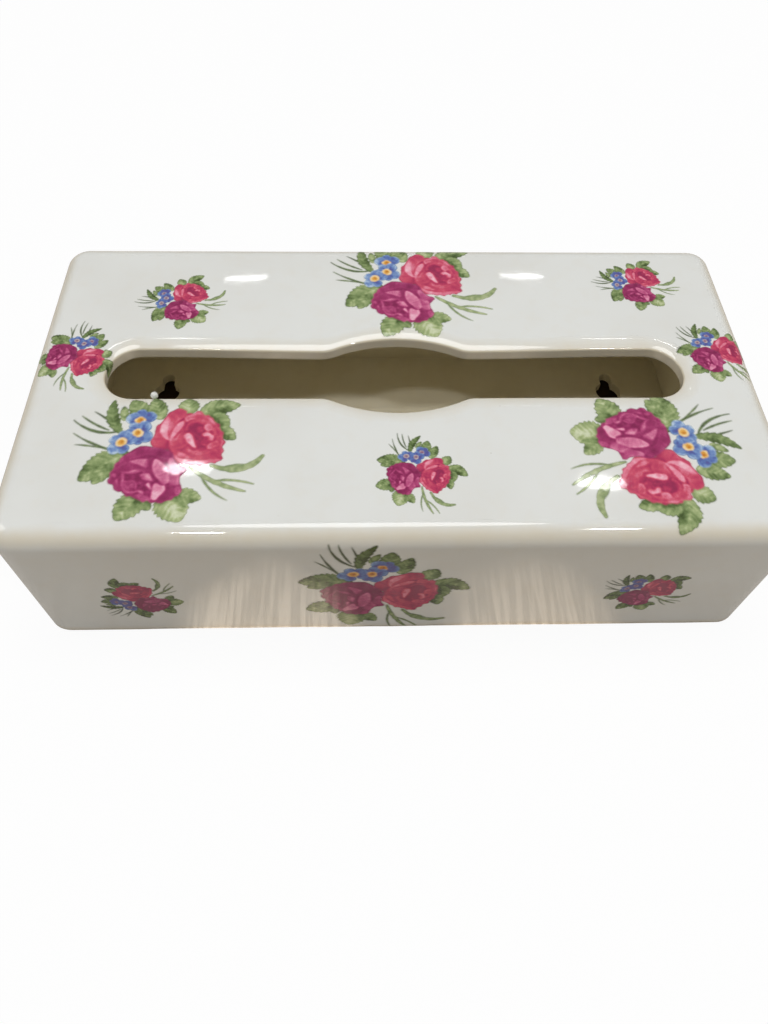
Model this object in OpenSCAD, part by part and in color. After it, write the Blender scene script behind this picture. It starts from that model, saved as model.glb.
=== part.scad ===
// Glazed ceramic cover for a flat box of tissues, with fired-on rose sprays.
// The cover stands on its foot rim: origin at the middle of the foot, +Z up, front towards -Y.

/* [Body] */
// Length of the cover, left to right
body_length = 260; // [220:5:300]
// Depth of the cover, front to back
body_depth = 140; // [125:5:180]
// Height of the cover above its foot
body_height = 64; // [56:1:90]
// Radius of the four upright corners
corner_radius = 9; // [8:0.5:14]
// Radius of the edge between the top and the walls
edge_radius = 6.5; // [4:0.5:7.5]
// Thickness of the walls and the top, glaze included
wall = 5.5; // [4.5:0.5:7]
// Radius of the upright corners inside
inner_corner_radius = 5; // [4:0.5:8]
// Radius between the walls and the ceiling inside
ceiling_radius = 3.5; // [2:0.5:3.5]

/* [Glaze] */
// Thickness of the glaze, inside and out
glaze = 0.3; // [0.2:0.05:0.5]
// Height of the foot that is left bare of glaze
bare_foot = 1.2; // [0.5:0.1:2.5]

/* [Slot] */
// Distance of the slot's ends from the cover's ends
slot_margin = 26.5; // [24:0.5:45]
// Width of the slot between its edges
slot_width = 22.4; // [16:0.2:26]
// Radius of the round along the slot's upper and lower edges
slot_edge_radius = 1.2; // [0.8:0.1:1.6]
// Depth of that round below the face of the clay
slot_edge_depth = 1; // [0.5:0.1:1.4]
// Half the length of the finger opening, along the slot
finger_half_length = 25; // [18:0.5:32]
// How far the finger opening bulges out of each side of the slot
finger_bulge = 6.5; // [4:0.5:9]

/* [Hanging ledge] */
// Thickness of the ledge along the foot of the back wall
ledge_thickness = 4.5; // [3.5:0.5:6]
// Height of the ledge's underside above the foot plane
ledge_lift = 1; // [0.5:0.1:2]
// Reach of the ledge forward from the back wall
ledge_depth = 33; // [31:1:40]
// Distance of each keyhole's middle from the cover's end
keyhole_margin = 30; // [27:1:34]
// Radius of the keyhole's round mouth, which lets a screw head through
keyhole_mouth_radius = 5.5; // [4.5:0.1:6]
// Width of the keyhole's narrow neck, which holds the screw
keyhole_neck_width = 5.4; // [4:0.1:6]
// Distance from the middle of the mouth to the middle of the neck's round end
keyhole_rise = 8; // [6:0.5:10]
// Distance of the mouth's middle in front of the cover's back
keyhole_setback = 26.5; // [25:0.5:28]

/* [Rose sprays] */
// Length of a large spray, from its grass tips to its twig tips
large_span = 64; // [50:1:70]
// Length of a small spray
small_span = 33; // [25:1:40]
// Thickness of the fired enamel over the glaze
enamel = 0.15; // [0.1:0.01:0.25]

/* [Hidden] */
$fn = 72;
// How far every cutting shape runs past what it cuts
overrun = 1;

half_length = body_length / 2;
half_depth = body_depth / 2;
slot_radius = slot_width / 2;
slot_end = half_length - slot_margin - slot_radius;
// The slot's edge: half the thickness of the clay there, and the height of its middle
edge_half = wall / 2 - glaze;
edge_height = body_height - wall / 2;

// The finger opening is an arc on each side of the slot
finger_radius = (pow(finger_half_length, 2) + pow(finger_bulge, 2)) / (2 * finger_bulge);
finger_centre = slot_radius + finger_bulge - finger_radius;

keyhole_x = half_length - keyhole_margin;
keyhole_y = half_depth - keyhole_setback;

// Roses of a spray: middle and radius as shares of the spray's length, and the turn in degrees
rose_shares = [
    [0.102, 0.117, 0.185, 20],
    [-0.102, -0.117, 0.172, 200],
    [0.045, -0.215, 0.062, 80]
];
// Forget-me-nots: middle and radius as shares, and the turn
bloom_shares = [
    [-0.166, 0.231, 0.072, 0],
    [-0.164, 0.145, 0.072, 30],
    [-0.239, 0.086, 0.074, 10]
];
// Leaves: base, tip and width as shares
leaf_shares = [
    [-0.140, 0.250, -0.226, 0.372, 0.085],
    [-0.080, 0.250, -0.110, 0.390, 0.100],
    [-0.266, 0.150, -0.317, 0.370, 0.062],
    [0.070, 0.240, 0.086, 0.395, 0.125],
    [0.170, 0.250, 0.344, 0.328, 0.140],
    [0.220, 0.260, 0.305, 0.172, 0.100],
    [0.240, 0.170, 0.330, 0.090, 0.085],
    [-0.190, 0.010, -0.411, -0.156, 0.165],
    [-0.110, -0.230, -0.156, -0.396, 0.110],
    [-0.110, -0.260, -0.030, -0.330, 0.095],
    [0.060, -0.200, 0.125, -0.378, 0.150]
];
// Grass blades and twigs: base, tip, sideways bow and width as shares
blade_shares = [
    [-0.281, 0.150, -0.508, 0.230, -0.060, 0.026],
    [-0.320, 0.165, -0.469, 0.258, -0.030, 0.020],
    [-0.240, 0.020, -0.492, 0.141, 0.035, 0.018],
    [0.250, -0.070, 0.488, -0.015, -0.065, 0.045],
    [0.130, -0.080, 0.414, -0.227, -0.035, 0.030],
    [0.290, -0.185, 0.456, -0.184, -0.020, 0.016]
];
petal_count = 9;
bloom_petal_count = 5;
// Petal rings of a rose: ring radius and petal radius as shares of the rose's radius
petal_ring_shares = [[0.74, 0.27], [0.46, 0.27], [0.17, 0.25]];
// Width of the bare line round each petal, as a share of the rose's radius
petal_gap_share = 0.035;
// Size of the open eye of a forget-me-not, as a share of its radius
bloom_eye_share = 0.3;

// Middles of the sprays on the top, as shares of half the length and half the depth
top_front_left_shares = [-0.592, -0.529];
top_front_middle_shares = [0.040, -0.651];
top_front_right_shares = [0.638, -0.536];
top_back_left_shares = [-0.615, 0.514];
top_back_middle_shares = [0.062, 0.633];
top_back_right_shares = [0.742, 0.657];
top_left_end_shares = [-0.888, 0.100];
top_right_end_shares = [0.908, 0.121];
// Middles of the sprays on the walls, as shares of the wall's half length and of the height
front_left_shares = [-0.685, 0.398];
front_middle_shares = [-0.058, 0.438];
front_right_shares = [0.665, 0.414];
back_left_shares = [0.640, 0.450];
back_right_shares = [-0.640, 0.450];
left_end_wall_shares = [-0.150, 0.450];
right_end_wall_shares = [-0.350, 0.450];

// Outline of a slab with two rounded upper corners, from its foot up to its height
module slab_outline(width, height, radius, foot) {
    translate([-width / 2, foot]) square([width, height - radius - foot]);
    translate([radius - width / 2, foot]) square([width - 2 * radius, height - foot]);
    for (side = [-1, 1])
        translate([side * (width / 2 - radius), height - radius]) circle(radius);
}

// A block whose upright corners and top edges are rounded, with a flat foot
module rounded_block(length, depth, height, plan_radius, top_radius, foot) {
    inner_length = length - 2 * plan_radius;
    inner_depth = depth - 2 * plan_radius;
    rotate([90, 0, 90])
        translate([0, 0, -inner_length / 2])
            linear_extrude(inner_length) slab_outline(depth, height, top_radius, foot);
    rotate([90, 0, 0])
        translate([0, 0, -inner_depth / 2])
            linear_extrude(inner_depth) slab_outline(length, height, top_radius, foot);
    for (x = [-1, 1], y = [-1, 1])
        translate([x * inner_length / 2, y * inner_depth / 2, 0])
            rotate([0, 0, x > 0 ? (y > 0 ? 0 : 270) : (y > 0 ? 90 : 180)])
                rotate_extrude(angle = 90)
                    intersection() {
                        slab_outline(2 * plan_radius, height, top_radius, foot);
                        translate([0, foot]) square([plan_radius, height - foot]);
                    }
}

// The outer form of the cover, drawn in by a distance all round
module outer_form(inset, foot = 0) {
    rounded_block(
        body_length - 2 * inset, body_depth - 2 * inset, body_height - inset,
        corner_radius - inset, edge_radius - inset, foot
    );
}

// The hollow inside the cover, let out by a distance all round
module hollow_form(outset, foot = 0) {
    rounded_block(
        body_length - 2 * (wall - outset), body_depth - 2 * (wall - outset),
        body_height - wall + outset,
        inner_corner_radius + outset, ceiling_radius + outset, foot
    );
}

// Half the section of the slot's space: an upright face with a round along its upper and lower edge
module slot_section(reach) {
    upright = edge_half - slot_edge_depth;
    difference() {
        translate([0, -edge_half - overrun])
            square([reach + slot_edge_radius, 2 * (edge_half + overrun)]);
        translate([reach, -upright]) square([slot_edge_radius, 2 * upright]);
        for (side = [-1, 1])
            translate([reach + slot_edge_radius, side * upright]) circle(slot_edge_radius);
    }
}

// The space of the slot with its round ends and the finger opening
module slot_space() {
    cut_height = 2 * (edge_half + overrun);
    finger_reach = finger_radius + slot_edge_radius;
    translate([0, 0, edge_height])
        for (side = [-1, 1]) {
            rotate([0, 0, side * 90 + 180])
                translate([0, slot_end, 0])
                    rotate_extrude(angle = 180) slot_section(slot_radius);
            mirror([0, side < 0 ? 1 : 0, 0]) {
                translate([-slot_end, 0, 0])
                    rotate([90, 0, 90]) linear_extrude(2 * slot_end) slot_section(slot_radius);
                intersection() {
                    translate([0, finger_centre, 0]) rotate_extrude() slot_section(finger_radius);
                    translate([-finger_reach, 0, -cut_height / 2])
                        cube([2 * finger_reach, finger_reach, cut_height]);
                }
            }
        }
}

// Body of fired clay: walls, top, a bare foot, and the rounded edges of the slot
module clay_body() {
    color("antiquewhite")
        difference() {
            outer_form(glaze);
            hollow_form(glaze, -overrun);
            slot_space();
        }
}

// Glaze over the outside, from the slot's edge down to the bare foot
module outer_glaze() {
    color("ivory")
        difference() {
            outer_form(0, bare_foot);
            outer_form(glaze);
            slot_space();
        }
}

// Glaze that lines the inside, left open where the ledge joins the walls
module inner_glaze() {
    color("wheat")
        difference() {
            hollow_form(glaze, bare_foot);
            hollow_form(0);
            slot_space();
            ledge_block();
        }
}

// The ledge's block with its half-round front edge, before the keyholes are cut
module ledge_block() {
    inner_half_depth = half_depth - wall + glaze;
    edge_round = ledge_thickness / 2;
    edge_y = inner_half_depth - ledge_depth + edge_round;
    intersection() {
        hollow_form(glaze);
        translate([-half_length, edge_y, ledge_lift]) {
            cube([body_length, ledge_depth, ledge_thickness]);
            translate([0, 0, edge_round])
                rotate([0, 90, 0]) cylinder(h = body_length, r = edge_round);
        }
    }
}

// A keyhole: a round mouth with a narrow neck towards the back
module keyhole(side) {
    translate([side * keyhole_x, keyhole_y, ledge_lift - overrun]) {
        cylinder(h = ledge_thickness + 2 * overrun, r = keyhole_mouth_radius);
        translate([-keyhole_neck_width / 2, 0, 0])
            cube([keyhole_neck_width, keyhole_rise, ledge_thickness + 2 * overrun]);
        translate([0, keyhole_rise, 0])
            cylinder(h = ledge_thickness + 2 * overrun, r = keyhole_neck_width / 2);
    }
}

// A ledge of clay along the foot of the back wall, with two keyholes to hang the cover by
module hanging_ledge() {
    color("wheat")
        difference() {
            ledge_block();
            for (side = [-1, 1])
                keyhole(side);
        }
}

// A pointed leaf between two points, as the overlap of two circles
module leaf(base_x, base_y, tip_x, tip_y, width) {
    chord = norm([tip_x - base_x, tip_y - base_y]);
    radius = (pow(chord, 2) + pow(width, 2)) / (4 * width);
    translate([base_x, base_y])
        rotate(atan2(tip_y - base_y, tip_x - base_x))
            intersection_for (side = [-1, 1])
                translate([chord / 2, side * (radius - width / 2)]) circle(radius);
}

// A bowed blade between two points, as one circle less another
module blade(base_x, base_y, tip_x, tip_y, bow, width) {
    chord = norm([tip_x - base_x, tip_y - base_y]);
    outer_bow = abs(bow) + width / 2;
    inner_bow = abs(bow) - width / 2;
    outer_radius = (pow(chord / 2, 2) + pow(outer_bow, 2)) / (2 * outer_bow);
    inner_radius = (pow(chord / 2, 2) + pow(inner_bow, 2)) / (2 * inner_bow);
    translate([base_x, base_y])
        rotate(atan2(tip_y - base_y, tip_x - base_x))
            mirror([0, bow < 0 ? 1 : 0])
                difference() {
                    translate([chord / 2, outer_bow - outer_radius]) circle(outer_radius);
                    translate([chord / 2, inner_bow - inner_radius]) circle(inner_radius);
                }
}

// A full rose: rings of petals, each petal set off from the next by a bare line
module rose(radius, turn) {
    gap = petal_gap_share * radius;
    rotate(turn)
        for (ring = [0 : len(petal_ring_shares) - 1]) {
            ring_radius = petal_ring_shares[ring][0] * radius;
            petal_radius = petal_ring_shares[ring][1] * radius;
            difference() {
                union() {
                    circle(ring_radius);
                    for (petal = [1 : petal_count - 2 * ring])
                        rotate(petal * 360 / (petal_count - 2 * ring))
                            translate([ring_radius, 0]) circle(petal_radius);
                }
                if (ring < len(petal_ring_shares) - 1)
                    circle(petal_ring_shares[ring + 1][0] * radius
                        + petal_ring_shares[ring + 1][1] * radius + gap);
            }
        }
}

// A forget-me-not with an open eye
module bloom(radius, turn) {
    petal_radius = radius * (1 - bloom_eye_share) / 2;
    rotate(turn)
        difference() {
            union() {
                circle(radius / 2);
                for (petal = [1 : bloom_petal_count])
                    rotate(petal * 360 / bloom_petal_count)
                        translate([radius - petal_radius, 0]) circle(petal_radius);
            }
            circle(bloom_eye_share * radius);
        }
}

module spray_roses(span) {
    for (r = rose_shares)
        translate([r[0] * span, r[1] * span]) rose(r[2] * span, r[3]);
}

module spray_blooms(span) {
    difference() {
        for (b = bloom_shares)
            translate([b[0] * span, b[1] * span]) bloom(b[2] * span, b[3]);
        rose_ground(span);
    }
}

// The round ground that each rose covers
module rose_ground(span) {
    outer = petal_ring_shares[0][0] + petal_ring_shares[0][1] + petal_gap_share;
    for (r = rose_shares)
        translate([r[0] * span, r[1] * span]) circle(r[2] * span * outer);
}

module spray_leaves(span) {
    difference() {
        union() {
            for (l = leaf_shares)
                leaf(l[0] * span, l[1] * span, l[2] * span, l[3] * span, l[4] * span);
            for (b = blade_shares)
                blade(b[0] * span, b[1] * span, b[2] * span, b[3] * span, b[4] * span, b[5] * span);
        }
        rose_ground(span);
        for (b = bloom_shares)
            translate([b[0] * span, b[1] * span]) circle(b[2] * span);
    }
}

// The three enamel colours of a spray, as flat outlines raised through the film
module spray_prism(span, height) {
    color("palevioletred") linear_extrude(height) spray_roses(span);
    color("cornflowerblue") linear_extrude(height) spray_blooms(span);
    color("olivedrab") linear_extrude(height) spray_leaves(span);
}

// The thin film of enamel that lies on the glaze
module enamel_film() {
    difference() {
        outer_form(-enamel, bare_foot);
        outer_form(0);
    }
}

// A spray laid on the top, up to the slot's edge and over the rounded edge where it reaches them
module top_spray(middle_shares, turn, span) {
    intersection() {
        translate([middle_shares[0] * half_length, middle_shares[1] * half_depth, body_height - edge_radius])
            rotate(turn) spray_prism(span, edge_radius + overrun);
        difference() {
            enamel_film();
            slot_space();
        }
    }
}

// A spray laid on a wall, drawn on the front wall and then turned round to the wall it lies on
module wall_spray(wall_turn, half_wall, reach, middle_shares, turn, span) {
    intersection() {
        rotate([0, 0, wall_turn])
            translate([middle_shares[0] * half_wall, edge_radius - reach, middle_shares[1] * body_height])
                rotate([90, 0, 0]) rotate(turn) spray_prism(span, edge_radius + overrun);
        enamel_film();
    }
}

module front_spray(middle_shares, turn, span) {
    wall_spray(0, half_length, half_depth, middle_shares, turn, span);
}

module back_spray(middle_shares, turn, span) {
    wall_spray(180, half_length, half_depth, middle_shares, turn, span);
}

module left_end_spray(middle_shares, turn, span) {
    wall_spray(-90, half_depth, half_length, middle_shares, turn, span);
}

module right_end_spray(middle_shares, turn, span) {
    wall_spray(90, half_depth, half_length, middle_shares, turn, span);
}

clay_body();
outer_glaze();
inner_glaze();
hanging_ledge();
top_spray(top_front_left_shares, 0, large_span);  // spray_top_front_left
top_spray(top_front_middle_shares, -46, small_span);  // spray_top_front_middle
top_spray(top_front_right_shares, -127, large_span);  // spray_top_front_right
top_spray(top_back_left_shares, 24, small_span);  // spray_top_back_left
top_spray(top_back_middle_shares, 0, large_span);  // spray_top_back_middle
top_spray(top_back_right_shares, 18, small_span);  // spray_top_back_right
top_spray(top_left_end_shares, -67, small_span);  // spray_top_left_end
top_spray(top_right_end_shares, -25, small_span);  // spray_top_right_end
front_spray(front_left_shares, 66, small_span);  // spray_front_left
front_spray(front_middle_shares, -39, large_span);  // spray_front_middle
front_spray(front_right_shares, -4, small_span);  // spray_front_right
back_spray(back_left_shares, 30, small_span);  // spray_back_left
back_spray(back_right_shares, -20, small_span);  // spray_back_right
left_end_spray(left_end_wall_shares, 10, small_span);  // spray_left_end_wall
right_end_spray(right_end_wall_shares, -30, small_span);  // spray_right_end_wall
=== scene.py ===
"""Looks of a glazed ceramic tissue box cover with rose sprays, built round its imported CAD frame.

All sizes are in metres unless a name says otherwise; the drawing of a spray is in millimetres.
"""

import logging
import math
from dataclasses import dataclass, field
from enum import Enum
from typing import Callable, Optional, Sequence, Union

import bmesh
import bpy
import numpy as np
from mathutils import Matrix, Vector
from mathutils.geometry import delaunay_2d_cdt

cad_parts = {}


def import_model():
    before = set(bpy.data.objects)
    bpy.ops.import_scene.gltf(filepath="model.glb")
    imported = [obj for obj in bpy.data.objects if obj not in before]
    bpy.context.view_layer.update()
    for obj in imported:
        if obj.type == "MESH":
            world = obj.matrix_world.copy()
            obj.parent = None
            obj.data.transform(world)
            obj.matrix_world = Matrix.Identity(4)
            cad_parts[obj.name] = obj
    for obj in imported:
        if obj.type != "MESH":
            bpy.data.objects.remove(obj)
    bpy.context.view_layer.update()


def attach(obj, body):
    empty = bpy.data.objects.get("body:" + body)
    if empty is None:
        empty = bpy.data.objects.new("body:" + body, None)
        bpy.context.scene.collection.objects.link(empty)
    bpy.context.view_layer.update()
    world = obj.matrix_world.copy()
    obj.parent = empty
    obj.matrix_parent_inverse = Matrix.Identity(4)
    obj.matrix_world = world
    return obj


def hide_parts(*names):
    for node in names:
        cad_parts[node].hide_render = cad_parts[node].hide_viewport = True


log = logging.getLogger("tissue_cover")
MM = 0.001
Colour = tuple[float, float, float, float]
Point = tuple[float, float]
Place = tuple[float, float, float]
Array = np.ndarray
WHITE: Colour = (1.0, 1.0, 1.0, 1.0)


def paint(red: int, green: int, blue: int) -> Colour:
    """A colour from its screen values.

    Args:
        red, green, blue: Screen values from 0 to 255.

    Returns:
        The same colour in linear light, with full alpha.
    """
    shares = (c / 255 for c in (red, green, blue))
    linear = [c / 12.92 if c <= 0.04045 else ((c + 0.055) / 1.055) ** 2.4 for c in shares]
    return (linear[0], linear[1], linear[2], 1.0)


# --------------------------------------------------------------------------- shader nodes


@dataclass(frozen=True)
class Wire:
    """An output of a node, with the arithmetic of single values."""

    graph: "Graph"
    socket: bpy.types.NodeSocket

    def out(self, name: str) -> "Wire":
        """Another output of the same node."""
        return Wire(self.graph, self.socket.node.outputs[name])

    def __add__(self, other: "Value") -> "Wire":
        """Sum."""
        return self.graph.sum_up("ADD", self, other)

    def __radd__(self, other: "Value") -> "Wire":
        """Sum, from the right."""
        return self.graph.sum_up("ADD", other, self)

    def __sub__(self, other: "Value") -> "Wire":
        """Difference."""
        return self.graph.sum_up("SUBTRACT", self, other)

    def __rsub__(self, other: "Value") -> "Wire":
        """Difference, from the right."""
        return self.graph.sum_up("SUBTRACT", other, self)

    def __mul__(self, other: "Value") -> "Wire":
        """Product."""
        return self.graph.sum_up("MULTIPLY", self, other)

    def __rmul__(self, other: "Value") -> "Wire":
        """Product, from the right."""
        return self.graph.sum_up("MULTIPLY", other, self)

    def __truediv__(self, other: "Value") -> "Wire":
        """Quotient."""
        return self.graph.sum_up("DIVIDE", self, other)

    def __rtruediv__(self, other: "Value") -> "Wire":
        """Quotient, from the right."""
        return self.graph.sum_up("DIVIDE", other, self)

    def __pow__(self, other: "Value") -> "Wire":
        """Power."""
        return self.graph.sum_up("POWER", self, other)

    def __gt__(self, other: "Value") -> "Wire":
        """One where this is greater, else nought."""
        return self.graph.sum_up("GREATER_THAN", self, other)

    def __abs__(self) -> "Wire":
        """Size without its sign."""
        return self.graph.sum_up("ABSOLUTE", self)


Value = Union[float, Wire]
Owner = Union[bpy.types.Material, bpy.types.World]


class Graph:
    """The nodes of one material or of the world."""

    def __init__(self, owner: Owner) -> None:
        """Start without nodes.

        Args:
            owner: The new material or world.
        """
        owner.use_nodes = True
        self.owner, self.tree = owner, owner.node_tree
        self.tree.nodes.clear()

    def add(
        self,
        kind: str,
        settings: Optional[dict[str, object]] = None,
        inputs: Optional[dict[Union[str, int], object]] = None,
        output: Union[str, int] = 0,
    ) -> Wire:
        """Add a node of any kind.

        Args:
            kind: The node's type, without its ShaderNode prefix.
            settings: The node's own settings, set first; "stops" gives a ramp's places and colours.
            inputs: Values or wires by socket name or number.
            output: The output that is wanted.

        Returns:
            That output as a wire.
        """
        node = self.tree.nodes.new("ShaderNode" + kind)
        for key, value in (settings or {}).items():
            if key == "stops":
                self._set_stops(node.color_ramp, value)
            else:
                setattr(node, key, value)
        for key, value in (inputs or {}).items():
            if isinstance(value, Wire):
                self.tree.links.new(value.socket, node.inputs[key])
            else:
                node.inputs[key].default_value = value
        return Wire(self, node.outputs[output]) if len(node.outputs) else Wire(self, None)

    @staticmethod
    def _set_stops(ramp: bpy.types.ColorRamp, stops: Sequence[tuple[float, Colour]]) -> None:
        """Give a ramp its stops.

        Args:
            ramp: The node's colour ramp.
            stops: Places from nought to one, each with its colour.
        """
        while len(ramp.elements) < len(stops):
            ramp.elements.new(0.5)
        for element, (place, colour) in zip(ramp.elements, stops):
            element.position = place
            element.color = colour

    def sum_up(self, operation: str, first: Value, second: Value = 0.0) -> Wire:
        """A Math node on one or two values."""
        return self.add("Math", {"operation": operation}, {0: first, 1: second})

    def held(self, value: Wire) -> Wire:
        """A value kept between nought and one."""
        return self.add("Clamp", None, {"Value": value})

    def step(self, value: Wire, low: float, high: float) -> Wire:
        """A soft step from nought at low to one at high."""
        return self.add(
            "MapRange",
            {"interpolation_type": "SMOOTHSTEP"},
            {"Value": value, "From Min": low, "From Max": high},
        )

    def blend(self, share: Value, first: object, second: object, how: str = "MIX") -> Wire:
        """Mix two colours.

        Args:
            share: How much of the second colour.
            first, second: Colours or wires.
            how: The blend type.

        Returns:
            The mixed colour.
        """
        settings = {"data_type": "RGBA", "blend_type": how}
        return self.add("Mix", settings, {0: share, 6: first, 7: second}, 2)

    def ramp(self, value: Wire, stops: Sequence[tuple[float, Colour]]) -> Wire:
        """A colour ramp over a value."""
        return self.add("ValToRGB", {"stops": stops}, {"Fac": value})

    def place(self) -> Wire:
        """The point on the object, in the object's own metres."""
        return self.add("TexCoord", None, None, "Object")

    def axes(self, vector: Wire) -> tuple[Wire, Wire, Wire]:
        """The three parts of a vector."""
        parts = self.add("SeparateXYZ", None, {0: vector})
        return parts, parts.out("Y"), parts.out("Z")

    def attribute(self, name: str) -> Wire:
        """A value that the mesh carries."""
        return self.add("Attribute", {"attribute_name": name}, None, "Fac")

    def noise(self, where: Wire, size: float, detail: float = 2.0, stretch: Place = (1, 1, 1)) -> Wire:
        """Soft noise.

        Args:
            where: The point.
            size: The size of its blotches in metres.
            detail: How many finer layers.
            stretch: How much longer the blotches are along each axis.

        Returns:
            A value about one half.
        """
        shrunk = tuple(1 / s for s in stretch)
        scaled = self.add("VectorMath", {"operation": "MULTIPLY"}, {0: where, 1: shrunk})
        inputs = {"Vector": scaled, "Scale": 1 / size, "Detail": detail, "Roughness": 0.5}
        return self.add("TexNoise", None, inputs)

    def bump(self, height: Wire, depth: float, onto: Optional[Wire] = None) -> Wire:
        """A bump whose height of one stands that many metres proud.

        Args:
            height: The height from nought to one.
            depth: What a height of one comes to.
            onto: Another bump that lies below.

        Returns:
            The normal.
        """
        inputs: dict[Union[str, int], object] = {"Height": height, "Distance": depth, "Strength": 1.0}
        if onto is not None:
            inputs["Normal"] = onto
        return self.add("Bump", None, inputs)

    def finish(self, shader: Wire) -> Owner:
        """Join a shader to the output.

        Args:
            shader: The shader.

        Returns:
            The material or the world.
        """
        kind = "OutputWorld" if isinstance(self.owner, bpy.types.World) else "OutputMaterial"
        self.add(kind, None, {"Surface": shader})
        return self.owner

    def coat(self, colour: Wire, rough: Wire, normal: Wire, index: float, **more: Wire) -> Owner:
        """Finish with one Principled shader.

        Args:
            colour, rough, normal: What varies over the surface.
            index: The refractive index.
            more: Other inputs by name.

        Returns:
            The material.
        """
        inputs = {"Base Color": colour, "Roughness": rough, "Normal": normal, "IOR": index, **more}
        return self.finish(self.add("BsdfPrincipled", None, inputs))


# --------------------------------------------------------------------------- sizes and lines


def lifted(points: Array, height: float) -> Array:
    """Flat points lifted to a height."""
    return np.column_stack([points, np.full(len(points), height)])


def circle_points(count: int) -> Array:
    """Points of a circle with a radius of one."""
    turn = np.linspace(0, 2 * math.pi, count, endpoint=False)
    return np.stack([np.cos(turn), np.sin(turn)], 1)


def rounded(radius: float, angle: float) -> Point:
    """How far a point of a rounded edge lies in from the two faces that it joins."""
    return radius * (1 - math.sin(angle)), radius * (1 - math.cos(angle))


@dataclass(frozen=True)
class CoverSizes:
    """Sizes of the cover, as the real one measures."""

    length: float = 260 * MM
    depth: float = 140 * MM
    height: float = 64 * MM
    corner_radius: float = 9 * MM
    edge_radius: float = 6.5 * MM
    wall: float = 5.5 * MM
    inner_corner_radius: float = 5 * MM
    ceiling_radius: float = 3.5 * MM
    glaze: float = 0.3 * MM
    bare_foot: float = 1.2 * MM
    foot_round: float = 0.8 * MM
    slot_length: float = 207 * MM
    slot_width: float = 22.4 * MM
    finger_half_length: float = 25 * MM
    finger_bulge: float = 6.5 * MM
    knuckle_radius: float = 10 * MM
    back_flare: float = 0.95 * MM
    front_flare: float = 0.25 * MM
    flare_start: float = 30 * MM
    flare_run: float = 55 * MM
    sag: float = 0.6 * MM
    sag_reach: Point = (55 * MM, 35 * MM)

    @property
    def slot_end(self) -> float:
        """From the slot's middle to the middle of its round end."""
        return (self.slot_length - self.slot_width) / 2

    def sagged(self, points: Array) -> Array:
        """Let the middle of the top sink a little, as it did in the kiln.

        Args:
            points: Points of the cover.

        Returns:
            The points, lowered near the middle of the slot.
        """
        near = np.exp(-((points[:, 0] / self.sag_reach[0]) ** 2) - (points[:, 1] / self.sag_reach[1]) ** 2)
        return points - np.stack([0 * near, 0 * near, self.sag * near], 1)

    def flared(self, line: Array) -> Array:
        """Let the slot widen a little towards its ends, as the hand that trimmed it did.

        Args:
            line: The line of the slot's upright face.

        Returns:
            The line, with its back and front sides moved out.
        """
        way = np.clip((np.abs(line[:, 0]) - self.flare_start) / self.flare_run, 0, 1)
        side = line[:, 1] / (self.slot_width / 2)
        flare = np.where(side > 0, self.back_flare, self.front_flare) * np.clip(side, -1, 1)
        return line + np.stack([0 * way, flare * way * way * (3 - 2 * way)], 1)


@dataclass(frozen=True)
class SlotRim:
    """The slot's rim in section: a gentle roll-off, a sharp edge and an upright face."""

    top: float
    ceiling: float
    roll_radius: float = 16 * MM
    roll_turn: float = math.radians(20)
    edge_radius: float = 0.9 * MM
    lower_radius: float = 0.8 * MM
    roll_steps: int = 8
    face_steps: int = 5
    lower_steps: int = 6

    @property
    def start(self) -> float:
        """How far out from the upright face the top begins to roll off."""
        return self.edge_radius + (self.roll_radius - self.edge_radius) * math.sin(self.roll_turn)

    @property
    def edge_middle(self) -> float:
        """The height of the middle of the sharp edge's round."""
        apart = self.roll_radius - self.edge_radius
        return self.top - self.roll_radius + apart * math.cos(self.roll_turn)

    def bent(self, way: Array) -> tuple[Array, Array, Array]:
        """Bend a sheet over the rim.

        Args:
            way: Distances along the rim's surface, from where it begins to roll off.

        Returns:
            Distances out from the upright face, heights, and how far the surface has turned.
        """
        roll = self.roll_radius * self.roll_turn
        past = np.maximum(way - roll, 0)
        turn = np.minimum(np.minimum(way, roll) / self.roll_radius + past / self.edge_radius, math.pi / 2)
        rolling = turn <= self.roll_turn
        radius = np.where(rolling, self.roll_radius, self.edge_radius)
        out = np.where(rolling, self.start, self.edge_radius) - radius * np.sin(turn)
        height = np.where(rolling, self.top - self.roll_radius, self.edge_middle) + radius * np.cos(turn)
        fall = np.maximum(past - self.edge_radius * (math.pi / 2 - self.roll_turn), 0)
        return out, height - fall, turn

    def section(self) -> tuple[Array, Array, Array]:
        """The whole section, from the top to the ceiling.

        Returns:
            Distances out from the upright face, heights, and how far the surface has turned.
        """
        roll = self.roll_radius * self.roll_turn
        edge = roll + self.edge_radius * (math.pi / 2 - self.roll_turn)
        face = edge + self.edge_middle - self.ceiling - self.lower_radius
        parts = ((0, roll, self.roll_steps), (roll, edge, self.roll_steps), (edge, face, self.face_steps))
        way = np.concatenate([np.linspace(low, high, steps + 1)[1:] for low, high, steps in parts])
        out, height, turn = self.bent(way)
        under = np.linspace(math.pi / 2, math.pi, self.lower_steps + 1)[1:]
        return (
            np.concatenate([out, self.lower_radius * (1 - np.sin(under))]),
            np.concatenate([height, self.ceiling + self.lower_radius * (1 + np.cos(under))]),
            np.concatenate([turn, under]),
        )


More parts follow.
